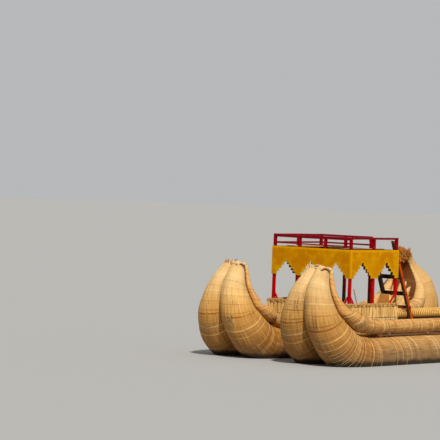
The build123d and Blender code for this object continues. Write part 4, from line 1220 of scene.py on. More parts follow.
for si, side in enumerate((1, -1)):
    sn = "port" if side > 0 else "starboard"
    for wi, way in enumerate((1, -1)):
        wn = "outer" if way > 0 else "inner"
        seed = 100 + si * 10 + wi
        m = main_bundle(side, way, seed)
        rng = np.random.default_rng(seed + 50)
        if (side, way) == (-1, 1):
            cut_ends(m, SHORT[side, way] + 0.03, side, way, 150, -1, 0.075, rng, mat=3, spread=0.7, rad0=0.010)
        else:
            # the bow ends under the curl: their cut ends in the dark shade material, painted shade
            cut_ends(m, SHORT[side, way] + 0.03, side, way, 70, -1, 0.035, rng, mat=4, spread=0.4)
        cut_ends(m, SMAX - 0.08, side, way, 60, 1, 0.10, rng, mat=3, spread=0.7, rad0=0.010)
        mats = [M_REED, M_CORD, M_CORD_DK, M_TUFT, M_BROWN_SHADE, M_HEAP]
        m.object(f"{sn}_hull_{wn}_reeds", mats, "reed_bundle", f"{sn}_hull_{wn}_bundle", smooth=60)
        k = (4, 5, 6) if way > 0 else (7, 8, 9)
        g = roll_geo(side, way, *k, seed + 300)
        if way > 0:
            ridge(g, side, np.random.default_rng(seed + 60), 5, 6 if side < 0 else 0)
        else:
            brush(g, side, np.random.default_rng(seed + 70), 3)
        g.object(f"{sn}_{wn}_gunwale_reeds", [M_ROLL, M_CORD, M_CORD_DK, M_BRUSH, M_BROWN_SHADE, M_HEAP, M_ROPE_BLUE], "reed_roll",
                 f"{sn}_{wn}_gunwale", smooth=60)
    h = heart_geo(side, 700 + si)
    h.object(f"{sn}_heart_reeds", [M_HEART, M_CORD, M_CORD_DK, M_HANK, M_LINING_SHADE], "reed_heart", f"{sn}_heart_bundle", smooth=60)

# =====================================================================
# poles under the outer rolls
for si, side in enumerate((1, -1)):
    sn = "port" if side > 0 else "starboard"
    rng = np.random.default_rng(900 + si)
    lo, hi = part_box(f"{sn}_side_pole")
    xs = np.linspace(lo.x + 0.002, hi.x - 0.002, 44)
    cy, cz = (lo.y + hi.y) / 2, (lo.z + hi.z) / 2
    P = np.stack([xs, cy + 0.0015 * wobble(44, 4, rng), cz + 0.0015 * wobble(44, 4, rng)], -1)
    m = Mesh()
    R = 0.0375 + 0.0012 * wobble(44, 2, rng)
    R[0] = R[-1] = 0.034
    tube(m, P, np.minimum(R, 0.0395), 14, ref=(0, 0, 1), rnd=0.4, wear=0.0)
    for x in (hi.x - 0.45, hi.x - 1.75, hi.x - 3.1):
        for dx in (0, 0.012, 0.026):
            th = 2 * np.pi * np.arange(18) / 18
            Pk = np.stack([np.full(18, x + dx) + 0.004 * np.sin(th), cy + 0.0415 * np.cos(th), cz + 0.0415 * np.sin(th)], -1)
            Pk[:, 2] = np.clip(Pk[:, 2], lo.z - 0.003, hi.z + 0.003)
            tube(m, Pk, 0.005, 5, ref=(1, 0.01, 0), closed=True, mat=1, rnd=rng.uniform())
    # its frayed forward end, with an orange lashing behind it, and two pale knots
    for k in range(46):
        a, q = rng.uniform(0, 2 * np.pi), 0.030 * math.sqrt(rng.uniform())
        b = np.array([hi.x - 0.030, cy + q * math.cos(a), cz + q * math.sin(a)])
        tube(m, b + np.outer([0, 0.5, 1], [rng.uniform(0.03, 0.055), rng.normal() * 0.006, rng.normal() * 0.006]), rng.uniform(0.0025, 0.0045), 4,
             ref=(0.1, 0.2, 1), mat=0, rnd=rng.uniform(0, 0.6), wear=rng.uniform(0, 1))
    for k in range(13):
        th = 2 * np.pi * np.arange(18) / 18
        rk = 0.0445 + 0.007 * math.sin(math.pi * (k + 0.5) / 13)
        Pk = np.stack([np.full(18, hi.x - 0.040 - 0.0125 * k) + 0.008 * np.sin(th + 2.3 * k), cy + rk * np.cos(th), cz + rk * np.sin(th)], -1)
        tube(m, Pk, 0.0080, 5, ref=(1, 0.01, 0), closed=True, mat=2 if k % 4 else 1, rnd=rng.uniform())
    for x in (1.52, -0.26):
        for k in range(7):
            th = 2 * np.pi * np.arange(12) / 12
            c0 = np.array([x + 0.010 * rng.normal(), cy + side * 0.034 + 0.004 * rng.normal(), cz + 0.030 + 0.006 * rng.normal()])
            A, B = rng.normal(size=(2, 3))
            A /= np.linalg.norm(A)
            B = np.cross(A, B)
            B /= np.linalg.norm(B)
            tube(m, c0 + 0.020 * (np.cos(th)[:, None] * A + np.sin(th)[:, None] * B), 0.0065, 5, ref=np.cross(A, B), closed=True, mat=3,
                 rnd=rng.uniform(0.5, 1))
    m.object(f"{sn}_side_pole_round", [M_POLE, M_CORD, M_LASH, M_KNOT], "round_pole", f"{sn}_side_pole", smooth=60)

# =====================================================================
# deck
def beams():
    rng = np.random.default_rng(31)
    m = Mesh()
    for x in (-2.25, -1.40, -0.55, 0.30, 1.20, 2.15):
        box_timber(m, x - 0.045, x + 0.045, -1.75, 1.75, BEAM_BOTTOM, BEAM_TOP, ch=0.007, rng=rng, warp=0.0015)
    # lashings at each inner roll and over the outer ends
    for x in (-2.25, -1.40, -0.55, 0.30, 1.20, 2.15):
        for y in (-1.60, -0.80, 0.80, 1.60):
            for k in range(4):
                yy = y + (k - 1.5) * 0.013
                o = 0.005
                hx, zt, zb = 0.045 + o, BEAM_TOP - 0.0005, BEAM_BOTTOM - o
                pts = []
                for cx, cz in ((-hx, zb), (hx, zb), (hx, zt - 0.012), (-hx, zt - 0.012)):
                    pts.append((x + cx, yy + rng.normal() * 0.001, cz))
                P = []
                for i in range(4):
                    a, b = np.array(pts[i]), np.array(pts[(i + 1) % 4])
                    for t in (0.08, 0.5, 0.92):
                        P.append(a * (1 - t) + b * t)
                tube(m, np.array(P), 0.0055, 5, ref=(0.02, 1, 0.01), closed=True, mat=1, rnd=rng.uniform())
    m.object("deck_beams_lashed", [M_BEAM, M_CORD_DK], "deck_timber", "deck_crossbeams")


beams()


def planks(name, node, areas, w, slot, mats, z0, z1, along="x", seed=0, gap=0.006):
    rng = np.random.default_rng(seed)
    m = Mesh()
    for x0, x1, y0, y1 in areas:
        a, b = (y0, y1) if along == "x" else (x0, x1)
        n = max(1, int(round((b - a) / w)))
        d = (b - a) / n
        for i in range(n):
            p, q = a + i * d + gap / 2, a + (i + 1) * d - gap / 2
            drop = rng.uniform(0, 0.003)
            if along == "x":
                box_timber(m, x0 + rng.uniform(0, 0.004), x1 - rng.uniform(0, 0.004), p, q, z0 + 0.0005, z1 - drop, ch=0.003,
                           rng=rng, warp=0.0006, seg=0.5)
            else:
                box_timber(m, p, q, y0 + rng.uniform(0, 0.004), y1 - rng.uniform(0, 0.004), z0 + 0.0005, z1 - drop, ch=0.003,
                           rng=rng, warp=0.0006, seg=0.5)
    return m


DK = 1.57
m = planks("cabin", None, [(CAB_REAR, 2.53, -DK, DK)], 0.145, "deck_timber", None, BEAM_TOP, DECK_TOP, "x", 41)
m.object("cabin_deck_boards", [M_DECK], "deck_timber", "cabin_deck")
IE, OE = 0.970 - 0.160 - 0.012, 0.970 + 0.160 + 0.012
areas = []
for a, b in ((-2.43, -1.562), (-1.558, CAB_REAR - 0.004)):
    areas += [(a, b, -IE, IE), (a, b, OE, DK), (a, b, -DK, -OE)]
m = planks("aft", None, areas, 0.14, "deck_timber", None, BEAM_TOP, DECK_TOP, "x", 43)
m.object("aft_deck_boards", [M_DECK], "deck_timber", "aft_deck")


def aft_roll(side, sn, seed):
    """The ribbed roll along the deck: a mat wound tight, bound every few centimetres."""
    rng = np.random.default_rng(seed)
    lo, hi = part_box(f"{sn}_aft_roll")
    cy, cz, R0 = (lo.y + hi.y) / 2, (lo.z + hi.z) / 2, (hi.z - lo.z) / 2
    L = hi.x - lo.x
    nw = int(L / 0.088)
    xs, mark, ph = [], [], []
    for k in range(nw):
        x = lo.x + 0.004 + (L - 0.008) * k / nw
        d = (L - 0.008) / nw
        xs += [x + d * e / 8 for e in range(8)]
        mark += [1.0, 0.55, 0.20, 0.04, 0.0, 0.04, 0.20, 0.55]
        ph += [k + e / 8 for e in range(8)]
    xs.append(hi.x - 0.004)
    mark.append(0.6)
    ph.append(nw)
    xs, mark = np.array(xs), np.array(mark)
    n, c = len(xs), 36
    th = 2 * np.pi * np.arange(c) / c
    sag = 1 + 0.010 * np.repeat(rng.normal(size=(nw + 1)), 8)[:n]
    R = (R0 - 0.002) * np.minimum(sag, 1.0)[:, None] - 0.0130 * mark[:, None] + 0.0012 * rng.normal(size=(1, c))
    ends = np.minimum(1, np.minimum(xs - xs[0], xs[-1] - xs) / 0.02)[:, None]
    R = R * (0.86 + 0.14 * ends)
    P = np.stack([np.broadcast_to(xs[:, None], R.shape), cy + R * np.cos(th), cz + R * np.sin(th)], -1)
    P[..., 2] = np.maximum(P[..., 2], lo.z + 0.001)
    q, uv = closed_grid(P, np.r_[th, 2 * np.pi] * 0.125, xs)
    V = np.concatenate([P.reshape(-1, 3), [P[0].mean(0) + (0.015, 0, 0), P[-1].mean(0) - (0.015, 0, 0)]])
    m = Mesh()
    f0, f1 = cap_fan(0, c, n * c)[:, ::-1], cap_fan((n - 1) * c, c, n * c + 1)
    spot = np.exp(-((xs + 0.53) / 0.05) ** 2)[:, None] * np.exp(-((np.cos(th - 0.9) - 1) / 0.5) ** 2) if side > 0 else np.zeros((n, c))
    m.add(V, [q, f0, f1], 0, [uv, np.zeros(f0.shape + (2,)), np.zeros(f1.shape + (2,))],
          phase=np.r_[np.repeat(ph, c), 0.5, 0.5], ringed=1.0, brown=np.r_[spot.ravel() * 1.4, 0, 0], rnd=0.5)
    for k in range(nw):
        if rng.uniform() < 0.4:
            continue
        i = 8 * k
        tk = 2 * np.pi * np.arange(24) / 24
        Rr = np.interp(tk, np.r_[th, 2 * np.pi], np.r_[R[i], R[i][0]]) + 0.001
        Pk = np.stack([xs[i] + 0.003 * np.sin(tk + k), cy + Rr * np.cos(tk), np.maximum(cz + Rr * np.sin(tk), lo.z + 0.004)], -1)
        tube(m, Pk, 0.0035, 4, ref=(1, 0.01, 0), closed=True, mat=1, rnd=rng.uniform())
    m.object(f"{sn}_aft_roll_ribbed", [M_AFTROLL, M_CORD_DK], "reed_heart", f"{sn}_aft_roll", smooth=70)


aft_roll(1, "port", 51)
aft_roll(-1, "starboard", 52)


# =====================================================================
# reed bulwark: upright stalks in clumps, a bound band at the foot, a plaited top
def reed_wall(name, node, p0, p1, out, seed):
    """p0, p1: ends of the wall's outer face at deck level; out: outward direction."""
    rng = np.random.default_rng(seed)
    p0, p1, out = np.array(p0, float), np.array(p1, float), np.array(out, float)
    L = np.linalg.norm(p1 - p0)
    D = (p1 - p0) / L
    top = 2.050
    m = Mesh()
    H = top - DECK_TOP
    # backing so that no light comes through between the stalks
    pitch = 0.0125
    n = int(L / pitch)
    clump = np.cumsum(np.where(rng.uniform(size=200) < 0.45, rng.uniform(0.035, 0.07, 200), rng.uniform(0.09, 0.17, 200)))
    clump = clump[clump < L]
    ph = rng.uniform(0, 6, 3)
    for face in (0, 1):
        for i in range(n):
            t = (i + 0.5) * pitch + rng.normal() * 0.002
            if t < 0.012 or t > L - 0.012:
                continue
            k = np.searchsorted(clump, t)
            lo_c = clump[k - 1] if k > 0 else 0.0
            hi_c = clump[k] if k < len(clump) else L
            f = (t - lo_c) / max(hi_c - lo_c, 1e-3)
            bulge = 0.018 * math.sin(math.pi * min(max(f, 0), 1)) ** 0.6
            if (f < 0.08 or f > 0.95) and rng.uniform() < 0.45:
                continue
            r = rng.uniform(0.0055, 0.0090)
            depth = (0.006 + 0.016 - bulge + rng.uniform(0, 0.006)) if face == 0 else (0.068 + bulge * 0.6 - rng.uniform(0, 0.006))
            zz = np.array([0.0, 0.11, 0.24, 0.37, H - 0.035 + rng.normal() * 0.008])
            sway = np.outer([0, 0.3, 1.0, 0.7, 0.2], rng.normal(size=2)) * (0.005, 0.002)
            snake = 0.013 * np.sin(np.array([0, 1.6, 3.3, 4.8, 6.0]) + 2.1 * k) * np.array([0, 0.7, 1, 0.9, 0.5])
            side_pull = 0.006 * math.sin(2 * math.pi * (f - 0.5)) * np.array([0, 0.2, 0.4, 0.8, 1.2]) + snake
            tone = 0.54 + 0.22 * math.sin(7.3 * k + 1.0) + 0.13 * rng.normal()
            P = p0 + np.outer(t + sway[:, 0] - side_pull, D) - np.outer(depth + r + sway[:, 1], out) + np.outer(zz + 0.001, (0, 0, 1))
            tube(m, P, r * np.array([0.9, 1, 1, 0.95, 0.75]), 5, ref=out + 0.01, mat=0, rnd=float(np.clip(tone, 0, 1)),
                 tip=np.array([0.0, 0, 0, 0.1, 0.75]) * rng.uniform(0.2, 1.0))
    # core slab of packed reeds between the two faces, dark: painted shade in the gaps between the stalks
    cs = np.linspace(0.02, L - 0.02, max(3, int(L / 0.12)))
    P = p0 + np.outer(cs, D) - out * 0.045 + np.array([0, 0, 0.225])
    cols = np.array([(-0.022, -0.22), (0.022, -0.22), (0.022, 0.215), (-0.022, 0.215)])
    Vc = P[:, None] + cols[None, :, :1] * out + cols[None, :, 1:] * np.array([0, 0, 1.0])
    q, uv = closed_grid(Vc, np.arange(5) * 0.1, cs)
    nn = len(cs)
    m.add(Vc.reshape(-1, 3), [q, np.array([[3, 2, 1, 0]]), (nn - 1) * 4 + np.array([[0, 1, 2, 3]])], 1,
          [uv, np.zeros((1, 4, 2)), np.zeros((1, 4, 2))], rnd=0.5, tip=0.0)
    m.M[-1][:] = 5
    m.M[-2][:] = 5
    m.M[-3][:] = 5
    # foot band: a flat hank laid along, bound with loops; its thin top row in the dark shade material, painted shade
    for face, dd in ((0, 0.004), (1, 0.084)):
        for row, zc in enumerate((0.020, 0.045, 0.070, 0.094)):
            ts = np.linspace(0.004, L - 0.004, int(L / 0.06))
            off = 0.0012 * wobble(len(ts), 3, rng)
            P = p0 + np.outer(ts, D) - np.outer(dd + 0.010 + off if face == 0 else dd - 0.010 - off, out) \
                + np.outer(zc + 0.002 * wobble(len(ts), 4, rng), (0, 0, 1))
            tube(m, P, 0.0145 if row < 3 else 0.009, 7, ref=(0, 0, 1.0), mat=2 if row < 3 else 1, rnd=0.85 + 0.15 * rng.uniform() if row < 3 else 0.2, tip=0.0, aspect=0.62)
        for t in np.arange(0.10, L - 0.05, 0.21):
            t = t + rng.normal() * 0.01
            for k in (0, 1):
                base = p0 + D * (t + 0.011 * k)
                o = out * (0.0 if face == 0 else -0.0)
                zz = np.array([0.004, 0.03, 0.07, 0.112, 0.122])
                dpt = np.array([0.006, -0.001, -0.001, 0.003, 0.012]) if face == 0 else np.array([0.082, 0.089, 0.089, 0.085, 0.076])
                P = base - np.outer(np.clip(dpt, 0.0015, 0.0885), out) + np.outer(zz, (0, 0, 1))
                tube(m, P, 0.0032, 4, ref=D, mat=3, rnd=rng.uniform(), tip=0.0)
    # plaited top: three thick hanks wound round each other with loose turns over them
    ts = np.linspace(0.0, L, int(L / 0.014))
    n3 = len(ts)
    jig = 0.003 * wobble(n3, 6, rng)
    for k in range(3):
        a = 2 * np.pi * (ts / 0.17 + k / 3) + 0.3 * wobble(n3, 10, rng)
        yy = 0.045 + 0.021 * np.cos(a)
        zz = H - 0.036 + 0.0135 * np.sin(a) + jig
        P = p0 + np.outer(ts, D) - np.outer(yy, out) + np.outer(zz, (0, 0, 1))
        rr = 0.0175 + 0.0015 * wobble(n3, 4, rng)
        rr[0] = rr[-1] = 0.006
        tube(m, P, np.clip(rr, 0.005, 0.0190), 7, ref=(0.01, 0.01, 1.0), mat=4, rnd=0.25 + 0.3 * k / 2, tip=0.1)
    # a second, looser hank under the plait on each face, with dark gaps between its turns
    for dd in (0.010, 0.080):
        P = p0 + np.outer(ts, D) - np.outer(dd + 0.004 * np.sin(ts / 0.045), out) + np.outer(H - 0.078 + 0.010 * np.sin(ts / 0.052 + dd * 40), (0, 0, 1))
        tube(m, P, 0.0095, 6, ref=(0.01, 0.01, 1.0), mat=4, rnd=0.35, tip=0.1)
    for t in np.arange(0.04, L - 0.03, 0.060):
        for dd in (0.003, 0.087):
            zt = H - 0.070 + rng.normal() * 0.012
            e = rng.normal() * 0.02
            P = np.stack([p0 + D * (t + e * q) - out * dd + np.array([0, 0, zt - 0.030 * q]) for q in (-1, -0.3, 0.4, 1)])
            tube(m, P, rng.uniform(0.006, 0.011), 5, ref=D + 0.01, mat=4, rnd=float(rng.uniform() < 0.5) * 0.8 + 0.1, tip=0.2)
    # turns that tie the plait down over both faces
    for t in np.arange(0.05, L - 0.03, 0.095):
        t = t + rng.normal() * 0.012
        for k in range(2 + int(rng.uniform() < 0.3)):
            tt = t + 0.014 * k
            tilt = rng.normal() * 0.02
            a = np.linspace(-0.25 * np.pi, 1.25 * np.pi, 12)
            yy = 0.045 + np.clip(0.0435 * np.cos(a), -0.0435, 0.0435)
            zz = H - 0.036 + 0.031 * np.sin(a)
            P = p0 + np.outer(tt + tilt * np.cos(a), D) - np.outer(yy, out) + np.outer(np.minimum(zz, H - 0.006), (0, 0, 1))
            tube(m, P, rng.uniform(0.0045, 0.0075), 5, ref=D + 0.01, mat=4, rnd=rng.uniform(0.1, 0.9), tip=0.2)
    return m.object(name, [M_STALK, M_BROWN_SHADE, M_HANK, M_CORD_DK, M_PLAIT, M_WALL_CORE_SHADE], "reed_wall", node, smooth=70)


reed_wall("front_wall_reeds", "front_reed_wall", (2.53, -1.54, DECK_TOP), (2.53, 1.54, DECK_TOP), (1, 0, 0), 61)
reed_wall("port_wall_reeds", "port_reed_wall", (2.438, 1.54, DECK_TOP), (0.320, 1.54, DECK_TOP), (0, 1, 0), 62)
reed_wall("starboard_wall_reeds", "starboard_reed_wall", (0.320, -1.54, DECK_TOP), (2.438, -1.54, DECK_TOP), (0, -1, 0), 63)

# =====================================================================
# posts, knees
F_TOP, S_TOP = RAIL_TOP - 0.087, RAIL_TOP - 0.057


def posts(name, node, spots, top, seed, mat=None):
    rng = np.random.default_rng(seed)
    m = Mesh()
    for x, y in spots:
        box_timber(m, x - POST / 2, x + POST / 2, y - POST / 2, y + POST / 2, DECK_TOP, top, ch=0.006, rng=rng, warp=0.001)
    m.object(name, [mat or M_RED], "post_red", node)


posts("front_posts_painted", "front_posts", [(FRONT_X, y) for y in (POST_Y, INNER_Y, -INNER_Y, -POST_Y)], F_TOP, 71)
posts("rear_posts_painted", "rear_posts", [(REAR_X, y) for y in (POST_Y, INNER_Y, -INNER_Y, -POST_Y)], S_TOP, 72, M_RED_AFT)
posts("side_posts_painted", "side_posts", [(MID_X, y) for y in (POST_Y, -POST_Y)], S_TOP, 73)

KNEES = [
    (FRONT_X - POST / 2, POST_Y, -1, 0, .508, .735),
    (FRONT_X, POST_Y - POST / 2, 0, -1, .508, .735),
    (FRONT_X, -POST_Y + POST / 2, 0, 1, .508, .735),
    (FRONT_X - POST / 2, -POST_Y, -1, 0, .508, .735),
    (REAR_X + POST / 2, POST_Y, 1, 0, .669, .745),
    (REAR_X + POST / 2, -POST_Y, 1, 0, .669, .745),
]


def knees():
    m = Mesh()
    rng = np.random.default_rng(75)
    w, t, ch = 0.058, 0.034, 0.004
    for ki, (x, y, dx, dy, reach, height) in enumerate(KNEES):
        w = 0.105 if ki == 4 else 0.060
        an = math.atan2(reach, height)
        k, q = w / math.sin(an), w / math.cos(an)
        A = np.array([x, y, DECK_TOP])
        D = np.array([dx, dy, 0.0])
        N = np.array([-dy, dx, 0.0])
        top0, top1 = np.array([0, height]), np.array([0, height - k])
        bot0, bot1 = np.array([reach, 0.0]), np.array([reach - q, 0.0])
        rows = 6
        ring = []
        for i in range(rows):
            f = i / (rows - 1)
            o, u = top0 * (1 - f) + bot0 * f, top1 * (1 - f) + bot1 * f
            e = (o - u) / np.linalg.norm(o - u)
            quad = []
            for s, n0 in ((o, 1), (u, -1)):
                pass
            pts = [(o - e * ch, t / 2), (o, t / 2 - ch), (o, -t / 2 + ch), (o - e * ch, -t / 2),
                   (u + e * ch, -t / 2), (u, -t / 2 + ch), (u, t / 2 - ch), (u + e * ch, t / 2)]
            ring.append([A + D * (p[0] + 0.0005) + np.array([0, 0, p[1] + 0.0005]) + N * off for p, off in pts])
        P = np.array(ring)
        c = 8
        per = np.r_[0, np.cumsum([.004, .026, .004, .05, .004, .026, .004, .05])]
        qd, uv = closed_grid(P, per, np.linspace(0, math.hypot(reach, height), rows))
        V = P.reshape(-1, 3)
        caps = [np.arange(c)[None, ::-1], (rows - 1) * c + np.arange(c)[None, :]]
        mats = np.zeros(len(qd), int)
        m.add(V, [qd] + caps, 0, [uv, np.zeros((1, c, 2)), np.zeros((1, c, 2))], wear=np.tile([1, 1, 1, 1, 1, 1, 1, 1], rows) * 0.8,
              rnd=rng.uniform())
        # a thin pale pink strip along each knee's upper edge, on the port aft knee along its port face: worn paint and
        # a painted highlight
        e = np.array([height, reach]) / math.hypot(height, reach)
        k0, side_off = (-0.052, np.array([0, t / 2 + 0.003, 0])) if ki == 4 else (0.001, np.zeros(3))
        a, b = [A + side_off + D * (p[0] + e[0] * k0) + np.array([0, 0, p[1] + e[1] * k0]) for p in (top0 * 0.93 + bot0 * 0.07, top0 * 0.10 + bot0 * 0.90)]
        timber(m, a, b, 0.008 if ki == 4 else t + 0.003, 0.018 if ki == 4 else 0.012, up=(e[0] * dx, e[0] * dy, e[1]), ch=0.002, rng=rng, mat=2)
    # a yellow batten nailed along the port aft knee's underside
    x, y, dx, dy, reach, height = KNEES[4]
    f = np.array([0.10, 0.88])
    n = np.array([-height, 0, -reach]) / math.hypot(reach, height)
    a, b = [np.array([x + dx * reach * q, y + 0.024, DECK_TOP + height * (1 - q)]) + n * 0.084 for q in f]
    timber(m, a, b, 0.014, 0.042, up=(height, 0, reach), rng=rng, mat=1)
    return m.object("post_knees_painted", [M_KNEE, M_YELLOW, M_KNEE_EDGE_WEAR_AND_HIGHLIGHT], "post_red", "post_knees")


knees()


# =====================================================================
# stepped boards
def stepped(name, node, length, centres, steps, xf, seed, back):
    """A sheet with stepped arches in its lower edge, as a grid of quads; xf maps (along, thickness, height) to the world."""
    rng = np.random.default_rng(seed)
    H = BOARD_TOP - BOARD_BOTTOM
    xs = {-length / 2, length / 2}
    for cc in centres:
        for half, h in steps:
            xs |= {cc - half, cc + half}
    xs = sorted(xs)
    fine = []
    for a, b in zip(xs, xs[1:]):
        k = max(1, int(math.ceil((b - a) / 0.09)))
        fine += [a + (b - a) * i / k for i in range(k)]
    fine.append(xs[-1])
    zs = {0.0, H}
    z = 0
    for half, h in steps:
        z += h
        zs.add(round(z, 5))
    zs = sorted(zs)
    zf = []
    for a, b in zip(zs, zs[1:]):
        k = max(1, int(math.ceil((b - a) / 0.09)))
        zf += [a + (b - a) * i / k for i in range(k)]
    zf.append(zs[-1])

    def open_at(x):
        best = 0.0
        for cc in centres:
            z = 0
            for half, h in steps:
                if abs(x - cc) < half:
                    best = max(best, z + h)
                z += h
        return best
    bm = bmesh.new()
    vs = {}

    def vert(i, j, k):
        if (i, j, k) not in vs:
            vs[(i, j, k)] = bm.verts.new((fine[i], (k - 0.5) * BOARD_T, zf[j]))
        return vs[(i, j, k)]
    inside = {}
    for i in range(len(fine) - 1):
        o = open_at((fine[i] + fine[i + 1]) / 2)
        for j in range(len(zf) - 1):
            inside[(i, j)] = (zf[j] + zf[j + 1]) / 2 > o
    for (i, j), on in inside.items():
        if not on:
            continue
        # the inner face takes the back material, dark: painted shade inside the cabin
        bm.faces.new([vert(i, j, 0), vert(i + 1, j, 0), vert(i + 1, j + 1, 0), vert(i, j + 1, 0)]).material_index = 1
        bm.faces.new([vert(i, j, 1), vert(i, j + 1, 1), vert(i + 1, j + 1, 1), vert(i + 1, j, 1)]).material_index = 0
        for di, dj, e in ((-1, 0, ((i, j + 1), (i, j))), (1, 0, ((i + 1, j), (i + 1, j + 1))),
                          (0, -1, ((i, j), (i + 1, j))), (0, 1, ((i + 1, j + 1), (i, j + 1)))):
            if not inside.get((i + di, j + dj), False):
                a, b = e
                bm.faces.new([vert(a[0], a[1], 0), vert(b[0], b[1], 0), vert(b[0], b[1], 1), vert(a[0], a[1], 1)]).material_index = 0
    bmesh.ops.recalc_face_normals(bm, faces=bm.faces)
    lay = bm.verts.layers.float.new("wear")
    sharp = [e for e in bm.edges if len(e.link_faces) == 2 and e.calc_face_angle(0) > 0.6]
    res = bmesh.ops.bevel(bm, geom=sharp, offset=0.0022, segments=2, affect="EDGES", profile=0.6, clamp_overlap=True)
    for f in res["faces"]:
        f.material_index = 0
        for v in f.verts:
            v[lay] = 1.0
    w1 = [rng.uniform(0, 6.28) for _ in range(4)]
    for v in bm.verts:
        x, y, z = v.co
        v.co.y += 0.0007 * math.sin(2.1 * x + w1[0]) * math.sin(3.0 * z + w1[1])
        v.co.x += 0.0008 * math.sin(31 * z + 17 * x + w1[2])
        v.co.z += 0.0008 * math.sin(27 * x + 13 * z + w1[3])
    uvl = bm.loops.layers.uv.new("strand")
    for f in bm.faces:
        for l in f.loops:
            l[uvl].uv = (l.vert.co.x, l.vert.co.z)
    for v in bm.verts:
        v.co = Vector(xf(v.co.x, v.co.y, v.co.z + BOARD_BOTTOM))
    me = bpy.data.meshes.new(name)
    bmesh.ops.recalc_face_normals(bm, faces=bm.faces)
    bm.to_mesh(me)
    bm.free()
    me.materials.append(M_YELLOW)
    me.materials.append(back)
    a = me.attributes.new("rnd", "FLOAT", "POINT")
    a.data.foreach_set("value", np.full(len(me.vertices), 0.3, np.float32))
    me.shade_smooth()
    me.set_sharp_from_angle(angle=math.radians(40))
    ob = bpy.data.objects.new(name, me)
    bpy.context.scene.collection.objects.link(ob)
    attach(ob, "root")
    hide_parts(node)
    return ob


bf, bs = ARCH_Y, (CAB_FRONT - CAB_REAR) / 2
stepped("front_board_painted", "front_board", 2 * CAB_HALF, (-bf, 0, bf), FRONT_STEPS,
        lambda a, t, z: (CAB_FRONT - BOARD_T / 2 + t, a, z), 81, M_BOARD_BACK_SHADE)
stepped("rear_board_painted", "rear_board", 2 * CAB_HALF, (-bf, 0, bf), FRONT_STEPS,
        lambda a, t, z: (CAB_REAR + BOARD_T / 2 - t, a, z), 82, M_BOARD_BACK_SHADE)
SL = CAB_FRONT - CAB_REAR - 2 * BOARD_T
stepped("port_board_painted", "port_board", SL, (-bs / 2, bs / 2), SIDE_STEPS,
        lambda a, t, z: (MID_X + a, CAB_HALF - BOARD_T / 2 + t, z), 83, M_BOARD_BACK_SHADE)
stepped("starboard_board_painted", "starboard_board", SL, (-bs / 2, bs / 2), SIDE_STEPS,
        lambda a, t, z: (MID_X + a, -CAB_HALF + BOARD_T / 2 - t, z), 84, M_BOARD_BACK_SHADE)

# =====================================================================
# roof and railing
in_y = POST_Y - POST / 2
X0, X1 = REAR_X - POST / 2, FRONT_X + POST / 2
rng = np.random.default_rng(91)
m = Mesh()
for s in (1, -1):
    box_timber(m, X0, X1, s * (in_y - 0.040), s * in_y, 3.110, 3.200, ch=0.004, rng=rng)
m.object("roof_ledgers_stained", [M_ROOF], "roof_timber", "roof_ledgers")
m = Mesh()
for i in range(6):
    x = X0 + POST + 0.035 + (X1 - X0 - 2 * POST - 0.070) * i / 5
    box_timber(m, x - 0.030, x + 0.030, -in_y, in_y, 3.200, 3.270, ch=0.004, rng=rng)
m.object("roof_joists_stained", [M_ROOF], "roof_timber", "roof_joists")
m = planks("roof", None, [(X0 + POST, X1 - POST, -in_y, in_y)], 0.125, None, None, 3.270, 3.295, "x", 93)
m.object("roof_floor_boards", [M_DECK], "roof_timber", "roof_floor")

m = Mesh()
box_timber(m, X1 - POST, X1, -(POST_Y + POST / 2), POST_Y + POST / 2, F_TOP, RAIL_TOP, ch=0.007, rng=rng, warp=0.002)
m.object("front_top_rail_painted", [M_RAIL], "rail_red", "front_top_rail")
for s, sn in ((1, "port"), (-1, "starboard")):
    m = Mesh()
    box_timber(m, X0, X1 - POST, s * (POST_Y - POST / 2), s * (POST_Y + POST / 2), S_TOP, RAIL_TOP, ch=0.006, rng=rng, warp=0.002)
    m.object(f"{sn}_top_rail_painted", [M_RAIL], "rail_red", f"{sn}_top_rail")
m = Mesh()
box_timber(m, X0, X0 + POST, -(POST_Y - POST / 2), INNER_Y + POST / 2, S_TOP, RAIL_TOP, ch=0.006, rng=rng, warp=0.002)
m.object("rear_top_rail_painted", [M_RAIL], "rail_red", "rear_top_rail")
MZ = 3.650
m = Mesh()
for a, b in ((X0 + POST, MID_X - POST / 2), (MID_X + POST / 2, X1 - POST)):
    box_timber(m, a, b, -POST_Y - 0.017, -POST_Y + 0.017, MZ - 0.024, MZ + 0.024, ch=0.004, rng=rng)
m.object("starboard_mid_rails_painted", [M_RAIL], "rail_red", "starboard_mid_rails")
m = Mesh()
for a, b in ((-POST_Y, -INNER_Y), (-INNER_Y, INNER_Y)):
    box_timber(m, REAR_X - 0.017, REAR_X + 0.017, a + POST / 2, b - POST / 2, MZ - 0.024, MZ + 0.024, ch=0.004, rng=rng)
m.object("rear_mid_rails_painted", [M_RAIL], "rail_red", "rear_mid_rails")
m = Mesh()
for a, b in ((-POST_Y, -INNER_Y), (-INNER_Y, INNER_Y), (INNER_Y, POST_Y)):
    box_timber(m, FRONT_X - 0.017, FRONT_X + 0.017, a + POST / 2, b - POST / 2, MZ - 0.027, MZ + 0.007, ch=0.004, rng=rng)
m.object("front_mid_rails_painted", [M_RAIL], "rail_red", "front_mid_rails")

# =====================================================================
# ladder: orange-red sides; the front and underside painted dark as shade, and the starboard stringer all in painted
# shade
LFX, LSL, LTOP, LYS, LD, LW = -0.7435, 0.4267, 3.800, (0.395, 1.195), 0.090, 0.105


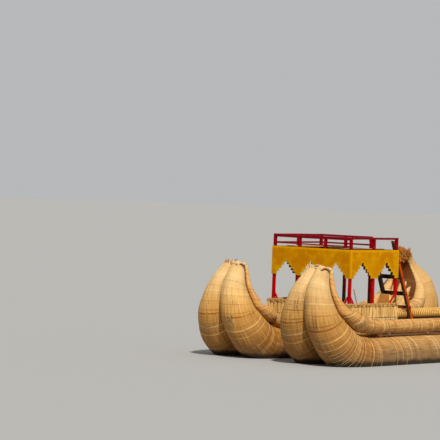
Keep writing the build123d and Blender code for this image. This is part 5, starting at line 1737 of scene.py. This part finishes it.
def ladder():
    m = Mesh()
    rng = np.random.default_rng(95)
    d = LD / 2 / math.cos(math.atan(LSL))
    rows = 12
    for y in LYS:
        ring = []
        ch = 0.005
        ladder_shade_all = y == LYS[0]
        for i in range(rows):
            z = DECK_TOP + 0.0005 + (LTOP - DECK_TOP - 0.0005) * i / (rows - 1)
            xa = LFX + (z - DECK_TOP) * LSL
            k = 0.93 if i == rows - 1 else 1.0
            w, e = LW / 2 * k, d * k
            ring.append([(xa + e - ch, y + w, z), (xa + e, y + w - ch, z), (xa + e, y - w + ch, z), (xa + e - ch, y - w, z),
                         (xa - e + ch, y - w, z), (xa - e, y - w + ch, z), (xa - e, y + w - ch, z), (xa - e + ch, y + w, z)])
        P = np.array(ring)
        P[1:-1] += rng.normal(size=(rows - 2, 8, 3)) * 0.0004
        c = 8
        per = np.r_[0, np.cumsum([.006, .065, .006, .06, .006, .065, .006, .06])]
        q, uv = closed_grid(P, per, np.linspace(0, 2.4, rows))
        J = np.tile(np.arange(c), rows - 1)
        # faces towards the bow, and the whole starboard stringer, take the painted shade
        mat = np.where((J == 1) | ladder_shade_all, 1, 0)              # the face towards the bow is dark
        caps = [np.arange(c)[None, ::-1], (rows - 1) * c + np.arange(c)[None, :]]
        V = P.reshape(-1, 3)
        m.add(V, [q], mat, [uv], flip=False, wear=0.8, rnd=rng.uniform())
        F = m.F[-1]
        base = m.n - len(V)
        for cp in caps:
            m.F.append(cp + base)
            m.UV.append(np.zeros((1, c, 2)))
            m.M.append(np.zeros(1, int))
    ob = m.object("ladder_stringers_painted", [M_ORANGE, M_LADDER_SHADE], "ladder_orange", "ladder_stringers")
    bm = bmesh.new()
    bm.from_mesh(ob.data)
    bmesh.ops.recalc_face_normals(bm, faces=bm.faces)
    bm.to_mesh(ob.data)
    bm.free()
    m = Mesh()
    # treads: the upper ones near-black and the lowest reddish-brown, both painted shade on orange-red wood; the tenons'
    # ends red
    for z, h in ((1.885, 0.080), (2.275, 0.118), (2.750, 0.122), (3.190, 0.100)):
        x = LFX + (z - DECK_TOP) * LSL
        box_timber(m, x - 0.024, x + 0.024, LYS[0] + LW / 2, LYS[1] - LW / 2, z - h / 2, z + h / 2, ch=0.005, rng=rng, mat=0 if z > 2 else 2)
        # the tenon's end on the port side
        box_timber(m, x - 0.022, x + 0.022, LYS[1] + LW / 2 - 0.004, LYS[1] + LW / 2 + (0.052 if z < 2 else 0.010), z - h * 0.36, z + h * 0.36,
                   ch=0.004, rng=rng, mat=1)
    m.object("ladder_treads_painted", [M_SHADE_PAINT, M_RED, M_TREAD_SHADE], "ladder_orange", "ladder_treads")


ladder()

# =====================================================================
# seats
for s, sn, sd in ((1, "port", 101), (-1, "starboard", 102)):
    rng = np.random.default_rng(sd)
    y_out = in_y - 0.040
    m = Mesh()
    for k in range(3):
        a, b = y_out - 0.33 + 0.11 * k + 0.003, y_out - 0.33 + 0.11 * (k + 1) - 0.003
        box_timber(m, 0.622, 2.248, s * a, s * b, 1.980, 2.010, ch=0.005, rng=rng)
    for x in (0.760, 1.430, 2.110):
        for ya, yb in ((y_out - 0.30, y_out - 0.245), (y_out - 0.085, y_out - 0.03)):
            box_timber(m, x - 0.030, x + 0.030, s * ya, s * yb, DECK_TOP + 0.001, 1.9795, ch=0.004, rng=rng, mat=1)
        box_timber(m, x - 0.020, x + 0.020, s * (y_out - 0.244), s * (y_out - 0.086), 1.90, 1.95, ch=0.004, rng=rng, mat=1)
    m.object(f"{sn}_seat_boards", [M_SEAT, M_ROOF], "seat_timber", f"{sn}_seat")
    m = Mesh()
    for k in range(3):
        a, b = 0.83 + 0.1 * k + 0.003, 0.83 + 0.1 * (k + 1) - 0.003
        box_timber(m, 0.522, 2.178, s * a, s * b, 3.540, 3.570, ch=0.005, rng=rng)
    # legs and cross pieces near-black: painted shade under the benches
    for x in (0.640, 1.350, 2.060):
        for ya, yb in ((0.86, 0.91), (1.05, 1.10)):
            box_timber(m, x - 0.025, x + 0.025, s * ya, s * yb, 3.2955, 3.5395, ch=0.004, rng=rng, mat=1)
        box_timber(m, x - 0.018, x + 0.018, s * 0.911, s * 1.049, 3.46, 3.51, ch=0.004, rng=rng, mat=1)
    m.object(f"{sn}_upper_bench_boards", [M_SEAT, M_SHADE_PAINT], "seat_timber", f"{sn}_upper_bench")


def end_board():
    rng = np.random.default_rng(105)
    lo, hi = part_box("seat_end_board")
    m = Mesh()
    prof = [(0.850, 1.960), (1.290, 1.960), (1.290, 2.280), (0.960, 2.280)]
    ch = 0.004
    n = 9
    P = []
    for i in range(n):
        f = i / (n - 1)
        z = 1.960 + 0.320 * f
        ya, yb = 0.850 + 0.110 * f, 1.290
        k = ch if i in (0, n - 1) else 0.0
        x0, x1 = lo.x + k, hi.x - k
        P.append([(x0 + ch, ya + k, z), (x1 - ch, ya + k, z), (x1, ya + ch, z), (x1, yb - ch, z), (x1 - ch, yb - k, z),
                  (x0 + ch, yb - k, z), (x0, yb - ch, z), (x0, ya + ch, z)])
    P = np.array(P)
    q, uv = closed_grid(P, np.r_[0, np.cumsum([.014, .006, .42, .006, .014, .006, .42, .006])], np.linspace(0, 0.32, n))
    m.add(P.reshape(-1, 3), [q, np.arange(8)[None, ::-1], (n - 1) * 8 + np.arange(8)[None]], 0,
          [uv[..., ::-1], np.zeros((1, 8, 2)), np.zeros((1, 8, 2))], wear=0.5, rnd=0.3)
    m.object("seat_end_board_varnished", [M_OCHREBOARD], "seat_timber", "seat_end_board")


end_board()


def stub():
    rng = np.random.default_rng(107)
    p0, p1 = np.array([-1.175, -1.300, 2.260]), np.array([-1.473, -1.300, 1.553])
    t = np.linspace(0, 1, 16)
    P = p0 + np.outer(t, p1 - p0) + np.stack([0.002 * wobble(16, 3, rng), 0.002 * wobble(16, 3, rng), 0 * t], -1)
    R = 0.0155 + 0.0008 * wobble(16, 2, rng)
    R[0] = 0.012
    m = Mesh()
    tube(m, P, R, 10, ref=(0, 1, 0), rnd=0.2, wear=0.0)
    m.object("pole_stub_peeled", [M_SEAT], "round_pole", "pole_stub", smooth=60)


stub()


# =====================================================================
# floor at the waterline, light, camera
def floor():
    bm = bmesh.new()
    bmesh.ops.create_grid(bm, x_segments=8, y_segments=8, size=260)
    me = bpy.data.meshes.new("floor")
    bm.to_mesh(me)
    bm.free()
    ob = bpy.data.objects.new("floor", me)
    ob.location = (0, 0, WATER)
    bpy.context.scene.collection.objects.link(ob)
    m = Mat("floor_pale")
    m.finish((0.315, 0.315, 0.313), 0.9, None, 0.05)
    me.materials.append(m.mat)
    return ob


floor()
world = bpy.data.worlds.new("studio") if bpy.context.scene.world is None else bpy.context.scene.world
bpy.context.scene.world = world
world.use_nodes = True
bg = world.node_tree.nodes["Background"]
bg.inputs[0].default_value = (0.90, 0.91, 0.93, 1)
bg.inputs[1].default_value = 0.53


def lamp(name, kind, energy, loc, target, size=1.0, color=(1, 1, 1), angle=None):
    l = bpy.data.lights.new(name, kind)
    l.energy = energy
    l.color = color
    if kind == "AREA":
        l.shape = "DISK"
        l.size = size
    if angle is not None:
        l.angle = angle
    o = bpy.data.objects.new(name, l)
    o.location = loc
    o.rotation_euler = (Vector(target) - Vector(loc)).to_track_quat("-Z", "Y").to_euler()
    bpy.context.scene.collection.objects.link(o)
    return o


lamp("key", "SUN", 4.7, (12.4, 15.6, 22.1), (0, 0, 0), color=(1.0, 0.955, 0.88), angle=math.radians(4.5))

cam = bpy.data.cameras.new("camera")
cam.sensor_fit = "HORIZONTAL"
cam.sensor_width = 36.0
cam.lens = 195.709
cam.clip_end = 2000
camo = bpy.data.objects.new("camera", cam)
right = Vector((-0.666526758905783, 0.7446814425363645, 0.034519976890368634))
up = Vector((0.009351436952291792, -0.03794994081953464, 0.999235884373015))
back = Vector((0.7454224508890778, 0.6663402667809842, 0.01833080949569018))
camo.matrix_world = Matrix((
    (right.x, up.x, back.x, 54.573557147845264),
    (right.y, up.y, back.y, 43.11065745363733),
    (right.z, up.z, back.z, 5.480565948583397),
    (0, 0, 0, 1)))
bpy.context.scene.collection.objects.link(camo)
bpy.context.scene.camera = camo
bpy.context.scene.view_settings.view_transform = "Standard"
